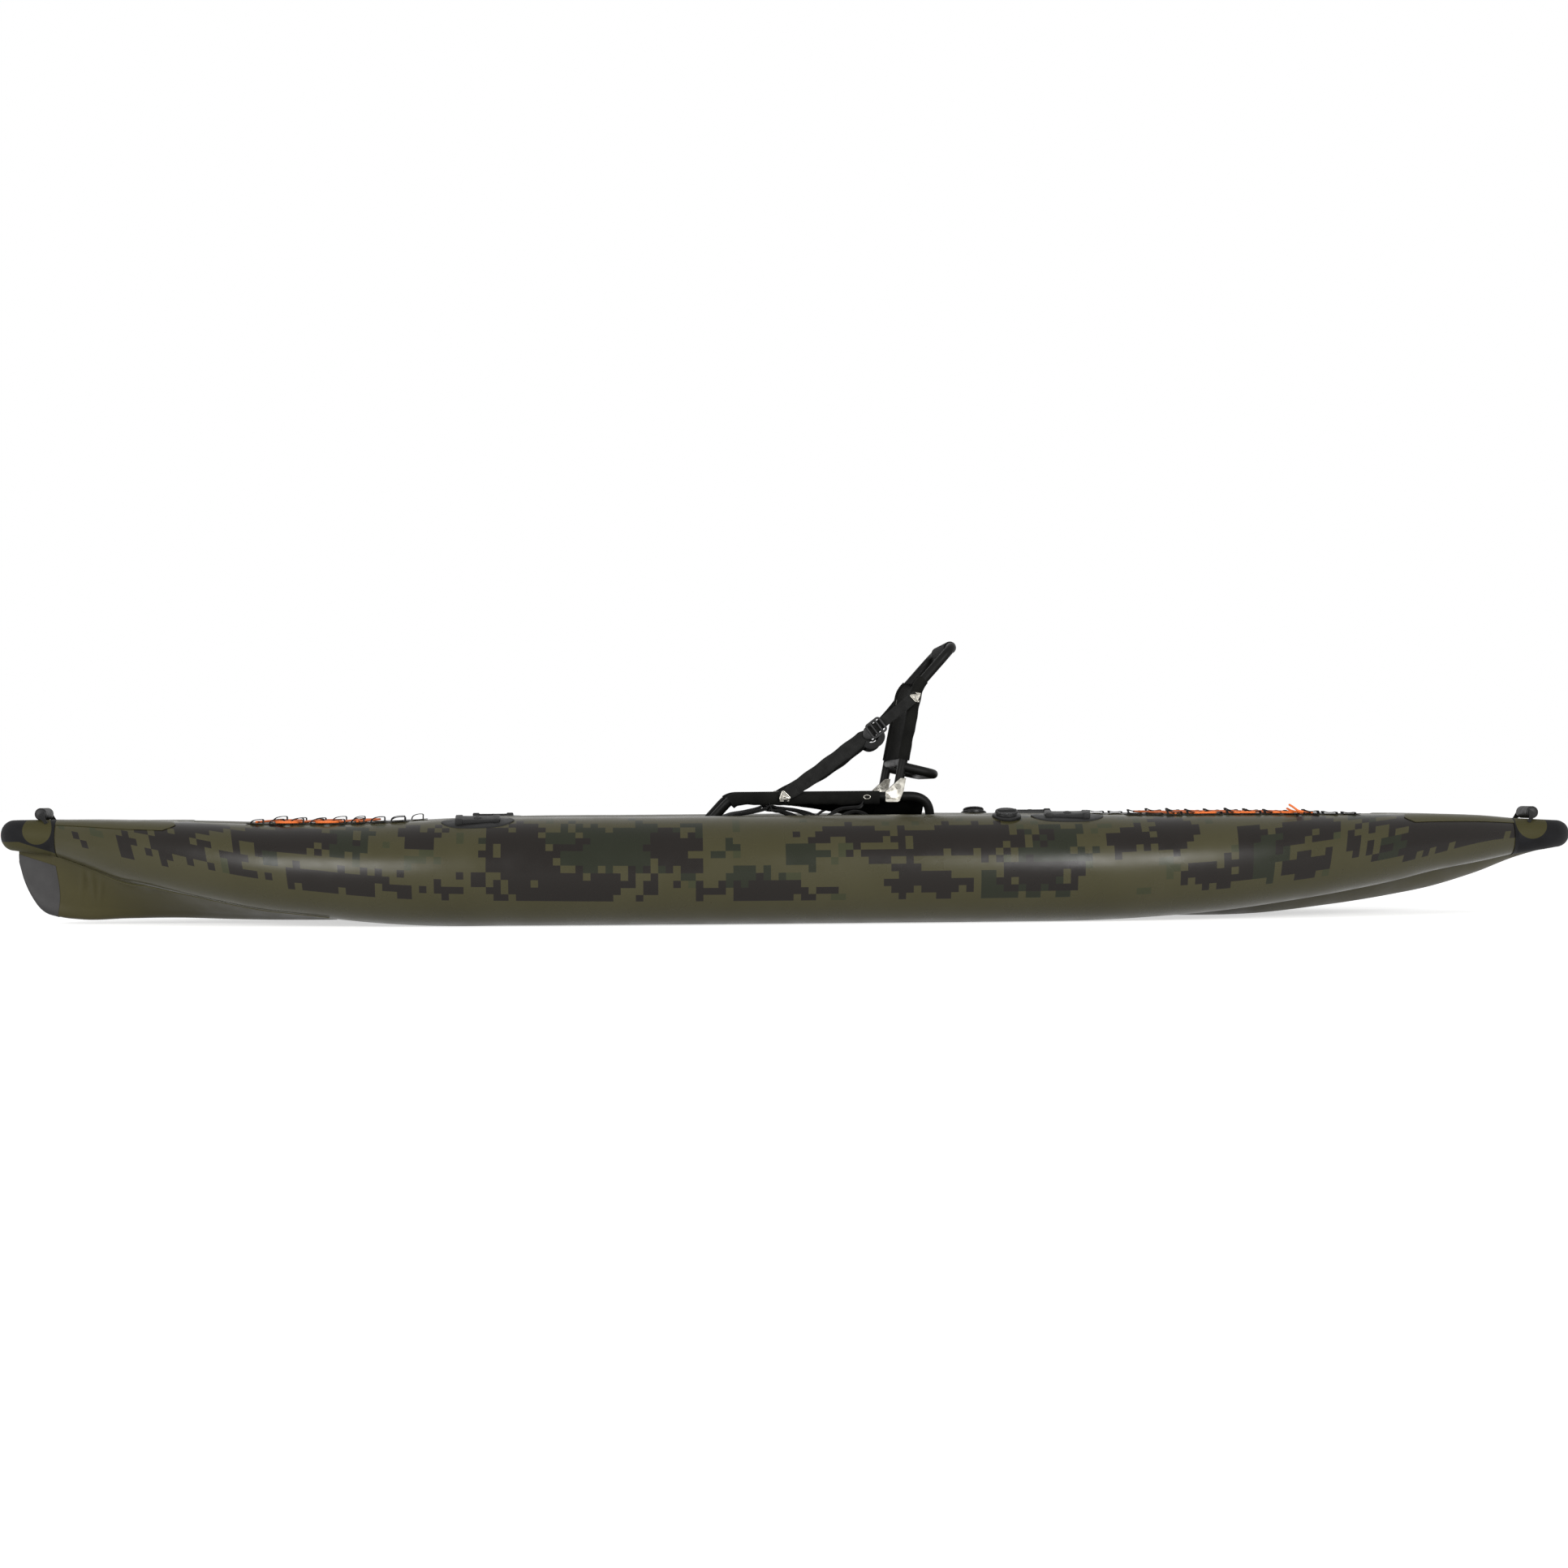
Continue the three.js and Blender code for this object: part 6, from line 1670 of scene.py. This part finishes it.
tieDowns = {
    "width": 0.024,
    "thickness": 0.0018,
    "corner": 0.0007,
    # how far the webbing's edges lean along the hull and up
    "lean": (0.12, 0.3),
    # side view and distance inboard: along, in from the rail, up
    "ribbons": [
        [(-0.236, 0.032, 0.121), (-0.205, 0.022, 0.19), (-0.137, 0.004, 0.252), (-0.09, 0, 0.261),
         (-0.051, 0, 0.271), (-0.041, 0, 0.2755), (-0.03, 0, 0.2725), (0.02, 0, 0.2655), (0.066, 0.004, 0.25),
         (0.1, 0.022, 0.19), (0.118, 0.032, 0.121)],
        [(-0.046, 0, 0.2835), (-0.04, 0, 0.268), (-0.01, 0.002, 0.262), (0.019, 0.006, 0.2505),
         (0.05, 0.022, 0.19), (0.062, 0.032, 0.121)],
        [(0.05, 0.032, 0.121), (0.07, 0.022, 0.19), (0.094, 0.004, 0.25), (0.123, 0, 0.267),
         (0.151, 0, 0.2705), (0.172, 0, 0.2735), (0.18, 0, 0.2835)],
        [(0.1, 0.032, 0.121), (0.112, 0.022, 0.19), (0.127, 0.004, 0.25), (0.162, 0, 0.261),
         (0.183, 0.003, 0.255), (0.21, 0.02, 0.19), (0.22, 0.032, 0.121)],
    ],
}


def tieDown(sideName, side):
    # Flat ribbons along smooth lines
    parts = []
    flat = roundedBox(tieDowns["thickness"], tieDowns["width"], tieDowns["corner"], 3)
    along, up = tieDowns["lean"]
    for route in tieDowns["ribbons"]:
        line = smoothLine([(x, side * (seat["halfWidth"] - inward), z) for x, inward, z in route], 90)
        parts.append(pieceFrom("ribbon", sweep(line, flat, (along, 1, up * side)), "webbing"))
    settle(joined(f"tie_down_{sideName}", parts), "boat", "webbing", f"seat_tie_down_{sideName}")


eyelet = {"place": (0.187, 0.2955), "size": (0.0078, 0.0046), "out": 0.0004, "wire": 0.0014}


def grommet(sideName, side):
    # Oval eyelet pressed into the sleeve
    turn = np.linspace(0, 2 * math.pi, 49)
    (x, z), (halfLong, halfHigh) = eyelet["place"], eyelet["size"]
    out = side * (seat["halfWidth"] + slings["sleeve"] + eyelet["out"])
    line = grid(x + halfLong * np.cos(turn), out, z + halfHigh * np.sin(turn))
    ring = pieceFrom(f"eyelet_{sideName}", sweep(line, circle(eyelet["wire"], 12), (0, 1, 0)), "steel")
    settle(ring, "boat", "stainless")


for sideName, side in sides.items():
    backStrap(sideName, side)
    strapHook(sideName, side, "lower")
    strapHook(sideName, side, "upper")
    tieDown(sideName, side)
    grommet(sideName, side)
print("seat fittings made")


# Floor, background and light
studio = {
    "floorHalf": 60,
    "floorZ": -0.001,
    "lamps": [
        # place, target, width, height, watts
        ((-4.1, -4.6, 1.6), (-0.9, 0, 0.15), 1.6, 1.9, 176),
        ((2.7, -5.1, 1.6), (0.7, 0, 0.15), 2.1, 1.8, 196),
    ],
    "background": 0.42,
    "floorGlow": 0.6,
}


def seenRays(owner):
    # 1 for the rays that see the background: from the camera, in gloss or through glass
    rays = addNode(owner, "LightPath").outputs
    seen = {0: rays["Is Camera Ray"], 1: rays["Is Glossy Ray"]}
    seen = addNode(owner, "Math", seen, operation="ADD").outputs[0]
    seen = {0: seen, 1: rays["Is Transmission Ray"]}
    return addNode(owner, "Math", seen, operation="ADD", use_clamp=True).outputs[0]


def studioFloor():
    size, z = studio["floorHalf"], studio["floorZ"]
    corners = [(x * size, y * size, z) for x, y in ((-1, -1), (1, -1), (1, 1), (-1, 1))]
    mesh = bpy.data.meshes.new("floor")
    mesh.from_pydata(corners, [], [(0, 1, 2, 3)])
    # its glow is seen by the camera and in gloss only, and leaves the shadow in place
    material, shader = startMaterial("paleFloor", "#f7f7f7", 0.9, 0.5, {"Emission Color": (1, 1, 1, 1)})
    glow = addNode(material, "Math", {0: seenRays(material), 1: studio["floorGlow"]}, operation="MULTIPLY")
    material.node_tree.links.new(glow.outputs[0], shader.inputs["Emission Strength"])
    mesh.materials.append(material)
    floor = bpy.data.objects.new("floor", mesh)
    bpy.context.scene.collection.objects.link(floor)


def studioLamps():
    for k, (place, target, width, height, watts) in enumerate(studio["lamps"]):
        data = bpy.data.lights.new(f"lamp_{k}", "AREA")
        data.shape, data.size, data.size_y, data.energy = "RECTANGLE", width, height, watts
        lamp = bpy.data.objects.new(f"lamp_{k}", data)
        bpy.context.scene.collection.objects.link(lamp)
        look = (Vector(target) - Vector(place)).to_track_quat("-Z", "Y").to_matrix().to_4x4()
        lamp.matrix_world = Matrix.Translation(place) @ look


def background():
    # White wherever the camera looks, directly, in gloss or through glass; softer as a light
    world = bpy.data.worlds.new("studio")
    bpy.context.scene.world = world
    world.use_nodes = True
    world.node_tree.nodes.clear()
    strength = addNode(world, "MapRange", {0: seenRays(world), 3: studio["background"], 4: 1.0})
    light = addNode(world, "Background", {"Color": (1, 1, 1, 1), "Strength": strength.outputs[0]})
    addNode(world, "OutputWorld", {"Surface": light.outputs[0]})


studioFloor()
studioLamps()
background()
bpy.context.scene.view_settings.view_transform = "Standard"


def corners(box):
    return [list(corner) for corner in box]


print("scene made")
